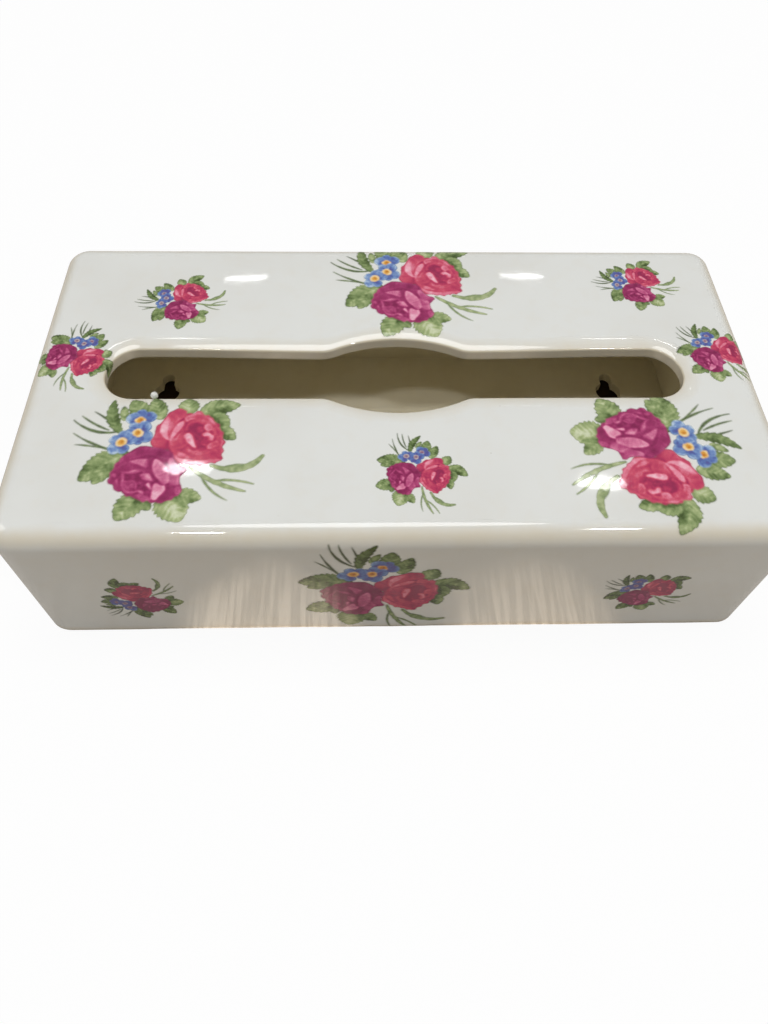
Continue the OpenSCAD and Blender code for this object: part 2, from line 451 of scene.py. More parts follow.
@dataclass(frozen=True)
class RingLines:
    """Lines round the slot and round the cover with matching stations, clockwise from the back."""

    sizes: CoverSizes
    finger_steps: int = 14
    knuckle_steps: int = 6
    straight_steps: int = 24
    corner_steps: int = 12
    side_steps: int = 8

    def _quadrant(self) -> tuple[Array, Array, Array]:
        """The back right quarter of the slot's upright face.

        Returns:
            Points, outward directions, and each station's way along the outer line: how far along
            the long side from nought to one, round the corner from one to two, and down the short
            side from two to three.
        """
        s = self.sizes
        reach = s.slot_width / 2
        arc = (s.finger_half_length**2 + s.finger_bulge**2) / (2 * s.finger_bulge)
        beta = math.acos(1 - s.finger_bulge / (arc + s.knuckle_radius))
        knuckle_x = (arc + s.knuckle_radius) * math.sin(beta)
        turn = [np.linspace(0, beta, self.finger_steps + 1)[:-1]]
        point = [np.stack([arc * np.sin(turn[0]), reach + s.finger_bulge - arc + arc * np.cos(turn[0])], 1)]
        turn.append(np.linspace(beta, 0, self.knuckle_steps + 1)[:-1])
        x = knuckle_x - s.knuckle_radius * np.sin(turn[1])
        y = reach + s.knuckle_radius - s.knuckle_radius * np.cos(turn[1])
        point.append(np.stack([x, y], 1))
        straight = np.linspace(knuckle_x, s.slot_end, self.straight_steps + 1)[:-1]
        turn.append(np.zeros_like(straight))
        point.append(np.stack([straight, np.full_like(straight, reach)], 1))
        turn.append(np.linspace(0, math.pi / 2, self.corner_steps + self.side_steps + 1))
        point.append(np.stack([s.slot_end + reach * np.sin(turn[3]), reach * np.cos(turn[3])], 1))
        points, turns = np.concatenate(point), np.concatenate(turn)
        long_side = np.concatenate(point[:3])[:, 0] / s.slot_end
        corner = 1 + np.arange(self.corner_steps) / self.corner_steps
        side = 2 + np.arange(self.side_steps + 1) / self.side_steps
        return points, np.stack([np.sin(turns), np.cos(turns)], 1), np.concatenate([long_side, corner, side])

    @staticmethod
    def _all_round(quarter: Array) -> Array:
        """Mirror a quarter line into the whole ring.

        Args:
            quarter: Points or directions of the back right quarter, clockwise.

        Returns:
            The whole ring, clockwise, with no point twice.
        """
        right = quarter[:-1]
        front = quarter[:0:-1] * (1, -1)
        return np.concatenate([right, front, -right, -front])

    def slot(self) -> tuple[Array, Array]:
        """The line of the slot's upright face.

        Returns:
            Points and outward directions.
        """
        points, outward, _ = self._quadrant()
        return self.sizes.flared(self._all_round(points)), self._all_round(outward)

    def outline(self, half_length: float, half_depth: float, radius: float, inset: float) -> Array:
        """A rounded oblong with the slot's stations.

        Args:
            half_length, half_depth: Half its sides.
            radius: The radius of its corners.
            inset: How far in from those sides the line runs.

        Returns:
            Its points.
        """
        way = self._quadrant()[2]
        turn = np.clip(way - 1, 0, 1) * math.pi / 2
        span_x, span_y = half_length - radius, half_depth - radius
        x = np.minimum(way, 1) * span_x + (radius - inset) * np.sin(turn)
        y = np.where(way > 2, (3 - way) * span_y, span_y + (radius - inset) * np.cos(turn))
        return self._all_round(np.stack([x, y], 1))


class MeshMaker:
    """Makes meshes from rows of points and flat fills."""

    INNER_TRIANGLES = 1
    FILL_GAP = 1e-7
    WELD_GAP = 1e-6

    def __init__(self) -> None:
        """Start with nothing."""
        self.points: list[Array] = []
        self.faces: list[tuple[int, ...]] = []
        self.values: dict[str, list[Array]] = {}
        self.count = 0

    def take(self, points: Array, values: Optional[dict[str, Array]]) -> int:
        """Add points with their carried values.

        Args:
            points: The points.
            values: Values by name, one each point.

        Returns:
            The number of the first point.
        """
        first = self.count
        self.points.append(points)
        self.count += len(points)
        for name, value in (values or {}).items():
            self.values.setdefault(name, []).append(np.broadcast_to(value, (len(points),)))
        return first

    def rings(
        self,
        rows: Sequence[Array],
        values: Optional[dict[str, Sequence[float]]] = None,
        flip: bool = False,
        closed: bool = True,
    ) -> None:
        """Join rows of equal length into a band.

        Args:
            rows: The rows, each an array of points.
            values: One value a row, by name.
            flip: Whether the faces look the other way.
            closed: Whether each row closes on itself.
        """
        firsts = []
        for r, row in enumerate(rows):
            carried = {k: np.full(len(row), v[r]) for k, v in (values or {}).items()}
            firsts.append(self.take(row, carried))
        size = len(rows[0])
        for a, b in zip(firsts, firsts[1:]):
            for i in range(size if closed else size - 1):
                j = (i + 1) % size
                face = (a + i, b + i, b + j, a + j)
                self.faces.append(face[::-1] if flip else face)

    def fill(self, loops: Sequence[Array], height: float, up: bool) -> None:
        """Fill a flat outline, less its holes.

        Args:
            loops: The outline first, then the holes.
            height: Where it lies.
            up: Whether it looks up.
        """
        flat = [Vector(p) for loop in loops for p in loop.tolist()]
        edges, start = [], 0
        for loop in loops:
            size = len(loop)
            edges += [(start + i, start + (i + 1) % size) for i in range(size)]
            start += size
        verts, _, faces, *_ = delaunay_2d_cdt(flat, edges, [], self.INNER_TRIANGLES, self.FILL_GAP)
        places = np.array([(v.x, v.y) for v in verts])
        first = self.take(lifted(places, height), None)
        for face in faces:
            middle = places[list(face)].mean(0)
            if any(inside(middle[None], hole)[0] for hole in loops[1:]):
                continue
            a, b, c = (places[i] for i in face[:3])
            turns_left = (b[0] - a[0]) * (c[1] - a[1]) - (b[1] - a[1]) * (c[0] - a[0]) > 0
            order = list(face) if turns_left == up else list(face)[::-1]
            self.faces.append(tuple(first + i for i in order))

    def object(self, name: str, weld: bool = True) -> bpy.types.Object:
        """Make the object.

        Args:
            name: Its name.
            weld: Whether points in one place become one.

        Returns:
            The object, smooth and linked to the scene.
        """
        mesh = bpy.data.meshes.new(name)
        mesh.from_pydata(np.concatenate(self.points).tolist(), [], self.faces)
        for key, value in self.values.items():
            carried = mesh.attributes.new(key, "FLOAT", "POINT").data
            carried.foreach_set("value", np.concatenate(value).astype(np.float32))
        if weld:
            self._weld(mesh)
        mesh.polygons.foreach_set("use_smooth", [True] * len(mesh.polygons))
        mesh.update()
        made = bpy.data.objects.new(name, mesh)
        bpy.context.scene.collection.objects.link(made)
        return made

    def _weld(self, mesh: bpy.types.Mesh) -> None:
        """Join points that lie in one place.

        Args:
            mesh: The mesh.
        """
        work = bmesh.new()
        work.from_mesh(mesh)
        bmesh.ops.remove_doubles(work, verts=work.verts, dist=self.WELD_GAP)
        work.to_mesh(mesh)
        work.free()


def inside(points: Array, outline: Array) -> Array:
    """Which points lie inside a closed outline.

    Args:
        points: The points to test.
        outline: The outline's points.

    Returns:
        True for each point inside.
    """
    result = np.zeros(len(points), bool)
    x, y = points[:, 0], points[:, 1]
    for (x0, y0), (x1, y1) in zip(outline, np.roll(outline, -1, 0)):
        if y0 == y1:
            continue
        crosses = ((y0 > y) != (y1 > y)) & (x < (x1 - x0) * (y - y0) / (y1 - y0) + x0)
        result ^= crosses
    return result


def edge_distance(
    points: Array, outline: Array, closed: bool = True
) -> tuple[Array, Array]:
    """The distance of points from a line.

    Args:
        points: The points.
        outline: The line's points.
        closed: Whether the line closes on itself.

    Returns:
        Distances, and how far along the line the nearest place is, from nought to one.
    """
    ends = np.roll(outline, -1, 0) if closed else outline[1:]
    starts = outline if closed else outline[:-1]
    best = np.full(len(points), np.inf)
    along = np.zeros(len(points))
    for n, (a, b) in enumerate(zip(starts, ends)):
        leg = b - a
        share = np.clip(((points - a) @ leg) / max(float(leg @ leg), 1e-18), 0, 1)
        gap = np.hypot(*(points - a - share[:, None] * leg).T)
        nearer = gap < best
        best = np.where(nearer, gap, best)
        along = np.where(nearer, (n + share) / len(starts), along)
    return best, along


# --------------------------------------------------------------------------- finishes


@dataclass(frozen=True)
class GlossyGlaze:
    """Clear glaze over pale clay: thick and cool on the flats, thin and warm on the rims."""

    name: str
    body: Colour
    shade: Colour
    thin: Colour
    speck: Colour = paint(150, 132, 104)
    index: float = 1.52
    roughness: float = 0.035
    smear_roughness: float = 0.04
    smear_size: float = 0.016
    smear_stretch: Place = (1.6, 1, 1)
    smear_range: Point = (0.50, 0.72)
    wave_size: float = 0.045
    wave_depth: float = 0.00010
    peel_size: float = 0.0035
    peel_depth: float = 0.000005
    cloud_size: float = 0.05
    cloud_range: Point = (0.35, 0.70)
    rim_wander: float = 0.30
    rim_wander_size: float = 0.006
    speck_spacing: float = 0.016
    speck_range: Point = (0.012, 0.022)
    speck_share: float = 0.25

    def surface(self, graph: Graph) -> tuple[Wire, Wire]:
        """The gloss and the gentle waves that the glaze and the enamel share.

        Args:
            graph: The material's nodes.

        Returns:
            The roughness and the normal.
        """
        where = graph.place()
        waves = graph.noise(where, self.wave_size, 1.0)
        peel = graph.noise(where, self.peel_size, 1.0)
        normal = graph.bump(peel, self.peel_depth, graph.bump(waves, self.wave_depth))
        smear = graph.step(graph.noise(where, self.smear_size, 3.0, self.smear_stretch), *self.smear_range)
        return self.roughness + self.smear_roughness * smear, normal

    def tint(self, graph: Graph) -> Wire:
        """The colour: soft clouds, warm thin rims, and a few fine specks.

        Args:
            graph: The material's nodes.

        Returns:
            The colour.
        """
        where = graph.place()
        clouds = graph.step(graph.noise(where, self.cloud_size, 3.0), *self.cloud_range)
        colour = graph.blend(clouds, self.body, self.shade)
        wander = self.rim_wander * (graph.noise(where, self.rim_wander_size, 2.0) - 0.5)
        colour = graph.blend(graph.held(graph.attribute("rim") + wander), colour, self.thin)
        inputs = {"Vector": where, "Scale": 1 / self.speck_spacing, "Randomness": 1.0}
        cells = graph.add("TexVoronoi", {"feature": "F1"}, inputs)
        speck = (1 - graph.step(cells, *self.speck_range)) * self.speck_share
        return graph.blend(speck, colour, self.speck)

    def material(self) -> bpy.types.Material:
        """The finished material."""
        graph = Graph(bpy.data.materials.new(self.name))
        rough, normal = self.surface(graph)
        return graph.coat(self.tint(graph), rough, normal, self.index)


@dataclass(frozen=True)
class BiscuitClay:
    """Bare fired clay, as the foot rim shows it, with grain, pits and a worn, stained foot."""

    name: str = "biscuit_clay"
    pale: Colour = paint(226, 214, 194)
    stained: Colour = paint(176, 155, 126)
    pits: Colour = paint(140, 120, 96)
    index: float = 1.5
    roughness: float = 0.78
    grain_roughness: float = 0.15
    grain_size: float = 0.0009
    grain_depth: float = 0.00012
    stain_size: float = 0.011
    stain_range: Point = (0.42, 0.66)
    stain_share: float = 0.65
    pit_range: Point = (0.5, 0.72)
    pit_share: float = 0.25

    def material(self) -> bpy.types.Material:
        """The finished material."""
        graph = Graph(bpy.data.materials.new(self.name))
        where = graph.place()
        grain = graph.noise(where, self.grain_size, 4.0)
        stain = graph.step(graph.noise(where, self.stain_size, 4.0), *self.stain_range)
        colour = graph.blend(self.stain_share * stain, self.pale, self.stained)
        colour = graph.blend(self.pit_share * graph.step(grain, *self.pit_range), colour, self.pits)
        rough = self.roughness + self.grain_roughness * grain
        return graph.coat(colour, rough, graph.bump(grain, self.grain_depth), self.index)


class Ink(Enum):
    """The enamel inks of a spray, each with its colours from deep to pale."""

    CORAL = ((158, 48, 88), (190, 60, 98), (214, 86, 112), (240, 142, 166), (255, 202, 214))
    MAGENTA = ((138, 40, 86), (164, 56, 106), (194, 84, 132), (230, 136, 170), (252, 196, 214))
    LEAF = ((70, 86, 46), (108, 128, 78), (146, 164, 110), (184, 196, 144), (220, 226, 192))
    BLUE = ((94, 90, 156), (96, 120, 182), (128, 156, 204), (184, 206, 230), (238, 244, 244))
    GOLD = ((170, 100, 52), (206, 132, 54), (232, 170, 80), (246, 212, 146), (253, 226, 206))

    @property
    def label(self) -> str:
        """The name of the value that the mesh carries for this ink."""
        return "ink_" + self.name.lower()


@dataclass(frozen=True)
class RoseEnamel:
    """Printed enamel inks fired onto the glaze, as glossy as the glaze itself."""

    glaze: GlossyGlaze
    name: str = "fired_enamel"
    grain_size: float = 0.00045
    grain_tone: float = 0.22

    def material(self) -> bpy.types.Material:
        """The finished material, coloured by the inks that the mesh carries."""
        graph = Graph(bpy.data.materials.new(self.name))
        where = graph.place()
        rough, normal = self.glaze.surface(graph)
        print_grain = graph.noise(where, self.grain_size, 2.0) - 0.5
        tone = graph.held(graph.attribute("tone") + self.grain_tone * print_grain)
        colour: Union[Wire, Colour] = self.glaze.body
        for ink in Ink:
            last = len(ink.value) - 1
            stops = [(n / last, paint(*shade)) for n, shade in enumerate(ink.value)]
            colour = graph.blend(graph.attribute(ink.label), colour, graph.ramp(tone, stops))
        cover = graph.held(graph.attribute("cover"))
        return graph.coat(colour, rough, normal, self.glaze.index, Alpha=cover)


@dataclass(frozen=True)
class PaleFloor:
    """A plain floor: white to the camera, and a warm board to the light that bounces off it, with painted
    pools of lamp light, a painted shaded strip, and a painted glow that reflections see.
    """

    name: str = "pale_floor"
    board: Colour = (0.62, 0.575, 0.525, 1.0)
    knots: Colour = (0.50, 0.455, 0.405, 1.0)
    shaded: Colour = (0.40, 0.325, 0.23, 1.0)
    lit: Colour = (0.98, 0.80, 0.61, 1.0)
    under: Colour = (0.98, 0.90, 0.74, 1.0)
    shade_under_cover: Colour = (0.055, 0.035, 0.022, 1.0)
    white: Colour = (0.93, 0.93, 0.93, 1.0)
    gleam: Colour = (1.0, 0.84, 0.66, 1.0)
    gleam_strength: float = 2.0
    white_share: float = 0.93
    grain_size: float = 0.0024
    grain_stretch: Place = (1, 14, 1)
    knot_range: Point = (0.35, 0.7)
    pool_aside: float = 0.051
    pool_ahead: float = 0.066
    pool_spread: Point = (0.036, 0.034)
    pool_ragged: float = 0.9
    pool_ragged_size: float = 0.03
    pool_range: Point = (0.30, 1.15)
    shaded_ahead: Point = (0.085, 0.11)
    shaded_aside: Point = (0.10, 0.17)
    right_dimmed: float = 0.24
    gleam_least: float = 0.40
    gleam_grain: float = 0.60
    gleam_range: Point = (0.42, 0.60)

    def _pool(self, graph: Graph, x: Wire, y: Wire) -> Wire:
        """The two pools of lamp light in front of the cover, ragged at their edges.

        Args:
            graph: The material's nodes.
            x, y: The point's place on the floor.

        Returns:
            One in a pool, else nought.
        """
        aside = (abs(x) - self.pool_aside) / self.pool_spread[0]
        ahead = (y + self.pool_ahead) / self.pool_spread[1]
        ragged = self.pool_ragged * (graph.noise(graph.place(), self.pool_ragged_size, 2.0) - 0.5)
        return 1 - graph.step(aside * aside + ahead * ahead + ragged, *self.pool_range)

    def material(self, half_length: float, half_depth: float) -> bpy.types.Material:
        """The finished material.

        Args:
            half_length, half_depth: Half the footprint inside the cover, which isn't lit white.

        Returns:
            The material.
        """
        graph = Graph(bpy.data.materials.new(self.name))
        where = graph.place()
        x, y, _ = graph.axes(where)
        under = (1 - (abs(x) > half_length)) * (1 - (abs(y) > half_depth))
        path = graph.add("LightPath", None, None, "Is Camera Ray")
        grain = graph.noise(where, self.grain_size, 4.0, self.grain_stretch)
        pool = self._pool(graph, x, y)
        board = graph.blend(graph.step(grain, *self.knot_range), self.board, self.knots)
        before = graph.step(-1.0 * y, *self.shaded_ahead) * (1 - graph.step(abs(x), *self.shaded_aside))
        board = graph.blend(before, board, self.shaded)
        bounced = graph.blend(under, graph.blend(pool, board, self.lit), self.under)
        # Painted shade: to the camera, the floor under the cover is near black, for instance where it shows
        # through the keyholes.
        seen = graph.blend(under, self.white, self.shade_under_cover)
        matt = graph.add("BsdfDiffuse", None, {"Color": graph.blend(path, bounced, seen)})
        # Painted reflection: in the two pools the floor glows warm for reflected rays only. The glow is
        # streaked by the grain and is dimmer on the right.
        glow = graph.add("Emission", None, {"Color": WHITE, "Strength": 1.0})
        warm = graph.add("Emission", None, {"Color": self.gleam, "Strength": self.gleam_strength})
        side = 1.0 - self.right_dimmed * (x > 0.0)
        grained = self.gleam_least + self.gleam_grain * graph.step(grain, *self.gleam_range)
        mirrored = path.out("Is Glossy Ray") * pool * side * grained
        floor = graph.add("MixShader", None, {0: mirrored, 1: matt, 2: warm})
        lit = path * self.white_share * (1 - under)
        return graph.finish(graph.add("MixShader", None, {0: lit, 1: floor, 2: glow}))


# --------------------------------------------------------------------------- the glazed body


@dataclass
class GlazedShell:
    """The cover's body: clay core, glaze outside, glaze inside."""

    sizes: CoverSizes
    lines: RingLines
    glaze: GlossyGlaze
    lining: GlossyGlaze
    clay: BiscuitClay
    rim: SlotRim
    lap: float = 1 * MM
    bead_radius: float = 1.3 * MM
    bead_place: Place = (-84.6 * MM, -10.7 * MM, 63.5 * MM)
    bead_dip: float = 0.4
    bead_steps: int = 8
    bead_points: int = 24
    bead_tip: float = 0.01 * MM
    hem_drop: float = 0.04 * MM
    hem_tuck: float = 0.10 * MM
    run_rows: int = 4
    run_waves: tuple[Place, ...] = ((0.22, 7, 0.6), (0.14, 19, 2.1), (0.08, 43, 0.0))
    edge_steps: int = 12
    edge_thin: float = 0.55
    face_thin: float = 0.62
    face_power: float = 0.8
    bend_thin: float = 0.3
    bend_turn: float = 0.8
    bend_spread: float = 0.5
    foot_thin: float = 0.9
    loft_shares: tuple[float, ...] = (0.03, 0.10, 0.25, 0.5, 0.75, 0.90, 0.96, 1.0)
    wall_shares: tuple[float, ...] = (0, 0.02, 0.06, 0.2, 0.4, 0.6, 0.8, 0.94, 0.98)
    wall_thin: tuple[float, ...] = (0.9, 0.35, 0, 0, 0, 0, 0, 0, 0)
    inner_shares: tuple[float, ...] = (0.1, 0.3, 0.5, 0.7, 0.9, 0.98, 1)
    foot_angles: tuple[float, ...] = (22.5, 45, 67.5, 90)

    def _outer_ring(self, inset: float, drop: float, draw: float) -> Array:
        """A ring on the outside.

        Args:
            inset: How far the whole skin lies under the glaze's face.
            drop: How far below the top the ring lies.
            draw: How far in from the wall's face the ring lies.

        Returns:
            Its points.
        """
        s = self.sizes
        flat = self.lines.outline(s.length / 2, s.depth / 2, s.corner_radius, inset + draw)
        return lifted(flat, s.height - inset - drop)

    def _top_rows(self, inset: float, floor: float) -> tuple[list[Array], list[float]]:
        """Rows from the foot of the outside up and over to the slot's rim.

        Args:
            inset: How far the skin lies under the glaze's face.
            floor: The height of its lowest row.

        Returns:
            The rows, and how thin the glaze runs at each.
        """
        s = self.sizes
        bend = s.edge_radius - inset
        rows, thin = [], list(self.wall_thin)
        for share in self.wall_shares:
            height = floor + share * (s.height - s.edge_radius - floor)
            rows.append(self._outer_ring(inset, s.height - inset - height, 0))
        for angle in np.linspace(0, math.pi / 2, self.edge_steps + 1):
            rows.append(self._outer_ring(inset, *rounded(bend, angle)))
            thin.append(self.edge_thin * math.sin(2 * angle) ** 2)
        edge, (line, outward) = rows[-1], self.lines.slot()
        goal = lifted(line + outward * self.rim.start, s.height - inset)
        rows += [edge + share * (goal - edge) for share in self.loft_shares]
        return rows, thin + [0.0] * len(self.loft_shares)

    def _rim_rows(self, inset: float) -> tuple[list[Array], list[float]]:
        """Rows over the slot's rim and down its upright face.

        Args:
            inset: How far the skin lies under the glaze's face.

        Returns:
            The rows, and how thin the glaze runs at each.
        """
        line, outward = self.lines.slot()
        rows, thin = [], []
        for out, height, turn in zip(*self.rim.section()):
            flat = line + outward * (out + inset * math.sin(turn))
            rows.append(lifted(flat, height - inset * math.cos(turn)))
            bend = math.exp(-((turn - self.bend_turn) / self.bend_spread) ** 2)
            thin.append(self.face_thin * math.sin(turn) ** self.face_power + self.bend_thin * bend)
        return rows, thin

    def _inner_ring(self, inset: float, rise: float, draw: float) -> Array:
        """A ring on the inside.

        Args:
            inset: How far the skin lies under the lining's face.
            rise: Height of the ring.
            draw: How far in from the wall's inner face the ring lies.

        Returns:
            Its points.
        """
        s = self.sizes
        half_length, half_depth = s.length / 2 - s.wall + inset, s.depth / 2 - s.wall + inset
        return lifted(self.lines.outline(half_length, half_depth, s.inner_corner_radius + inset, draw), rise)

    def _ceiling_rows(self, inset: float, floor: float) -> list[Array]:
        """Rows from the slot's rim over the ceiling and down the inner walls.

        Args:
            inset: How far the skin lies under the lining's face.
            floor: The height of its lowest row.

        Returns:
            The rows.
        """
        s = self.sizes
        bend = s.ceiling_radius + inset
        height = s.height - s.wall + inset
        line, outward = self.lines.slot()
        start = lifted(line + outward * (self.rim.lower_radius + self.lap), height)
        goal = self._inner_ring(inset, height, bend)
        rows = [start + share * (goal - start) for share in self.loft_shares]
        for angle in np.linspace(math.pi / 2, 0, self.edge_steps + 1)[1:]:
            drop, draw = rounded(bend, angle)
            rows.append(self._inner_ring(inset, height - drop, draw))
        for share in self.inner_shares:
            rows.append(self._inner_ring(inset, height - bend - share * (height - bend - floor), 0))
        return rows

    def outer_skin(self) -> bpy.types.Object:
        """The glaze outside, from its beaded lower edge over the top and round the slot's rim."""
        s = self.sizes
        rows, thin = self._top_rows(0, s.bare_foot)
        foot = s.height - s.bare_foot
        hem = [
            self._outer_ring(0, foot + self.hem_drop / 2, s.glaze + self.hem_tuck / 2),
            self._outer_ring(0, foot + self.hem_drop, self.hem_tuck),
        ]
        rows, thin = hem + rows, [1.0, 1.0] + thin
        rows = [self._let_run(row, n) for n, row in enumerate(rows)]
        rim, rim_thin = self._rim_rows(0)
        line, outward = self.lines.slot()
        lap = lifted(line + outward * (self.rim.lower_radius + self.lap), s.height - s.wall)
        made = MeshMaker()
        made.rings([s.sagged(row) for row in rows + rim + [lap]], {"rim": thin + rim_thin + [0.0]})
        self._add_bead(made)
        return self._dress(made.object("glaze_outside"), self.glaze, "outer glaze", "outer_glaze")

    def _add_bead(self, made: MeshMaker) -> None:
        """Add the small bead of glaze that dried on the slot's front edge.

        Args:
            made: The skin so far.
        """
        x, y, height = self.bead_place
        rows = []
        for angle in np.linspace(-self.bead_dip, math.pi / 2, self.bead_steps + 1):
            radius = max(self.bead_radius * math.cos(angle), self.bead_tip)
            flat = circle_points(self.bead_points) * radius + (x, y)
            rows.append(lifted(flat, height + self.bead_radius * math.sin(angle)))
        made.rings(rows, {"rim": [0.0] * len(rows)}, flip=True)

    def _let_run(self, row: Array, number: int) -> Array:
        """Let the glaze's lower edge run unevenly, as a wiped foot does.

        Args:
            row: A row of the outside.
            number: The row's number, from the lowest.

        Returns:
            The row, moved by a fraction of a millimetre where it is one of the lowest.
        """
        if number >= self.run_rows:
            return row
        turn = np.linspace(0, 2 * math.pi, len(row), endpoint=False)
        run = sum(size * np.sin(waves * turn + start) for size, waves, start in self.run_waves)
        return row + np.stack([0 * run, 0 * run, run * MM * (1 - number / (self.run_rows + 1))], 1)

    def inner_skin(self) -> bpy.types.Object:
        """The glaze that lines the inside."""
        rows = self._ceiling_rows(0, self.sizes.bare_foot)
        thin = [0.0] * (len(rows) - 1) + [self.foot_thin, 1.0]
        edge = self._inner_ring(self.sizes.glaze, self.sizes.bare_foot, 0)
        made = MeshMaker()
        made.rings([self.sizes.sagged(row) for row in rows + [edge]], {"rim": thin})
        return self._dress(made.object("glaze_inside"), self.lining, "lining glaze", "inner_glaze")

    def core(self) -> bpy.types.Object:
        """The clay under the glaze, bare and rounded at its foot."""
        s = self.sizes
        rows = self._top_rows(s.glaze, s.foot_round)[0] + self._rim_rows(s.glaze)[0]
        rows += self._ceiling_rows(s.glaze, s.foot_round)
        bends = [rounded(s.foot_round, angle) for angle in np.radians(self.foot_angles)]
        foot = [self._inner_ring(s.glaze, low, -draw) for low, draw in bends]
        foot += [self._outer_ring(s.glaze, s.height - s.glaze - low, draw) for low, draw in bends[::-1]]
        made = MeshMaker()
        made.rings([s.sagged(row) for row in rows + foot + [rows[0]]])
        return self._dress(made.object("clay_core"), self.clay, "fired clay", "clay_body")

    @staticmethod
    def _dress(
        piece: bpy.types.Object, finish: Union[GlossyGlaze, BiscuitClay], slot: str, node: str
    ) -> bpy.types.Object:
        """Give a piece its finish and let it stand for its CAD node.

        Args:
            piece: The piece.
            finish: Its finish.
            slot: A material slot's name; not used.
            node: The CAD node that it replaces.

        Returns:
            The piece.
        """
        piece.data.materials.append(finish.material())
        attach(piece, "root")
        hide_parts(node)
        return piece

    def build(self) -> list[bpy.types.Object]:
        """Build the three layers."""
        return [self.core(), self.outer_skin(), self.inner_skin()]


@dataclass
class HangingLedge:
    """The turned-in ledge at the foot of the back wall, with its two keyholes."""

    sizes: CoverSizes
    finish: GlossyGlaze
    thickness: float = 4.5 * MM
    lift: float = 1 * MM
    depth: float = 33 * MM
    keyhole_spacing: float = 200 * MM
    mouth_radius: float = 5.5 * MM
    neck_width: float = 5.4 * MM
    keyhole_rise: float = 8 * MM
    keyhole_setback: float = 26.5 * MM
    softness: float = 0.5 * MM
    margin: float = 0.5 * MM
    round_steps: int = 5
    front_steps: int = 12
    across_steps: int = 40
    mouth_steps: int = 39
    neck_steps: int = 16
    corner_steps: int = 8

    @property
    def _reach(self) -> Point:
        """How far the ledge reaches from the cover's middle to the side and to the back."""
        s = self.sizes
        return s.length / 2 - s.wall + s.glaze, s.depth / 2 - s.wall + s.glaze

    def _keyhole(self, side: int, grown: float) -> Array:
        """A keyhole's outline: a round mouth in front and a narrow neck behind it.

        Args:
            side: -1 for the left one, 1 for the right one.
            grown: How far outside the hole the line runs.

        Returns:
            Its points.
        """
        mouth, neck = self.mouth_radius + grown, self.neck_width / 2 + grown
        open_angle = math.asin(neck / mouth)
        turn = np.linspace(math.pi / 2 + open_angle, 2.5 * math.pi - open_angle, self.mouth_steps + 1)
        round_mouth = np.stack([mouth * np.cos(turn), mouth * np.sin(turn)], 1)
        turn = np.linspace(0, math.pi, self.neck_steps + 1)
        round_neck = np.stack([neck * np.cos(turn), self.keyhole_rise + neck * np.sin(turn)], 1)
        middle = (side * self.keyhole_spacing / 2, self.sizes.depth / 2 - self.keyhole_setback)
        return np.concatenate([round_mouth, round_neck]) + middle

    def _outline(self, front: float) -> Array:
        """The flat part's outline, with rounded corners at the back.

        Args:
            front: Where its front edge lies.

        Returns:
            Its points.
        """
        reach_x, reach_y = self._reach
        radius = self.sizes.inner_corner_radius + self.sizes.glaze
        turn = np.linspace(0, math.pi / 2, self.corner_steps + 1)
        corner_x = reach_x - radius + radius * np.cos(turn)
        corner_y = reach_y - radius + radius * np.sin(turn)
        corner = np.stack([corner_x, corner_y], 1)
        across = np.linspace(-reach_x, reach_x, self.across_steps + 1)[1:-1]
        edge = np.stack([across, np.full_like(across, front)], 1)
        ends = [(reach_x, front)], [(-reach_x, front)]
        return np.concatenate([ends[0], corner, corner[::-1] * (-1, 1), ends[1], edge])

    def build(self) -> bpy.types.Object:
        """Build the ledge with softened edges."""
        half = self.thickness / 2
        reach_x, reach_y = self._reach
        front = reach_y - self.depth + half
        low, high = self.lift, self.lift + self.thickness
        made = MeshMaker()
        for height, up in ((high, True), (low, False)):
            holes = [self._keyhole(side, self.softness + self.margin) for side in (-1, 1)]
            made.fill([self._outline(front + self.margin)] + holes, height, up)
        across = np.linspace(-reach_x, reach_x, self.across_steps + 1)
        turns = np.radians(np.linspace(90, -90, self.front_steps + 1))
        nose = [(front - half * math.cos(a), low + half + half * math.sin(a)) for a in turns]
        strip = [(front + self.margin, high)] + nose + [(front + self.margin, low)]
        made.rings([lifted(np.stack([across, 0 * across + y], 1), z) for y, z in strip], closed=False)
        for side in (-1, 1):
            made.rings(self._keyhole_rows(side, low, high), flip=True)
        piece = made.object("ledge_with_keyholes")
        piece.data.materials.append(self.finish.material())
        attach(piece, "root")
        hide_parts("hanging_ledge")
        return piece

    def _keyhole_rows(self, side: int, low: float, high: float) -> list[Array]:
        """Rows down through a keyhole, round its softened edges.

        Args:
            side: -1 for the left one, 1 for the right one.
            low, high: The ledge's lower and upper faces.

        Returns:
            The rows from the upper face to the lower one.
        """
        soft = self.softness
        bends = [rounded(soft, angle) for angle in np.linspace(0, math.pi / 2, self.round_steps + 1)]
        rows = [(soft + self.margin, high)]
        rows += [(out, high - drop) for out, drop in bends]
        rows += [(out, low + drop) for out, drop in bends[::-1]]
        rows.append((soft + self.margin, low))
        return [lifted(self._keyhole(side, grown), height) for grown, height in rows]


# --------------------------------------------------------------------------- the painted sprays


def closed_curve(points: Sequence[Point], steps: int = 5) -> Array:
    """A smooth closed line through points.

    Args:
        points: The points, in order.
        steps: Pieces between two points.

    Returns:
        The line's points.
    """
    p = np.array(points, float)
    a, b, c, d = (np.roll(p, back, 0)[:, None] for back in (1, 0, -1, -2))
    t = (np.arange(steps) / steps)[None, :, None]
    line = 0.5 * (2 * b + (c - a) * t + (2 * a - 5 * b + 4 * c - d) * t**2 + (3 * b - a - 3 * c + d) * t**3)
    return line.reshape(-1, 2)


def bell(value: Array, width: float) -> Array:
    """One where a value is nought, falling away smoothly on both sides over a width."""
    return np.exp(-((value / width) ** 2))


def edge_bell(depth: Array, width: float) -> Array:
    """One at an outline and outside it, falling away smoothly inside."""
    return bell(np.maximum(depth, 0), width)


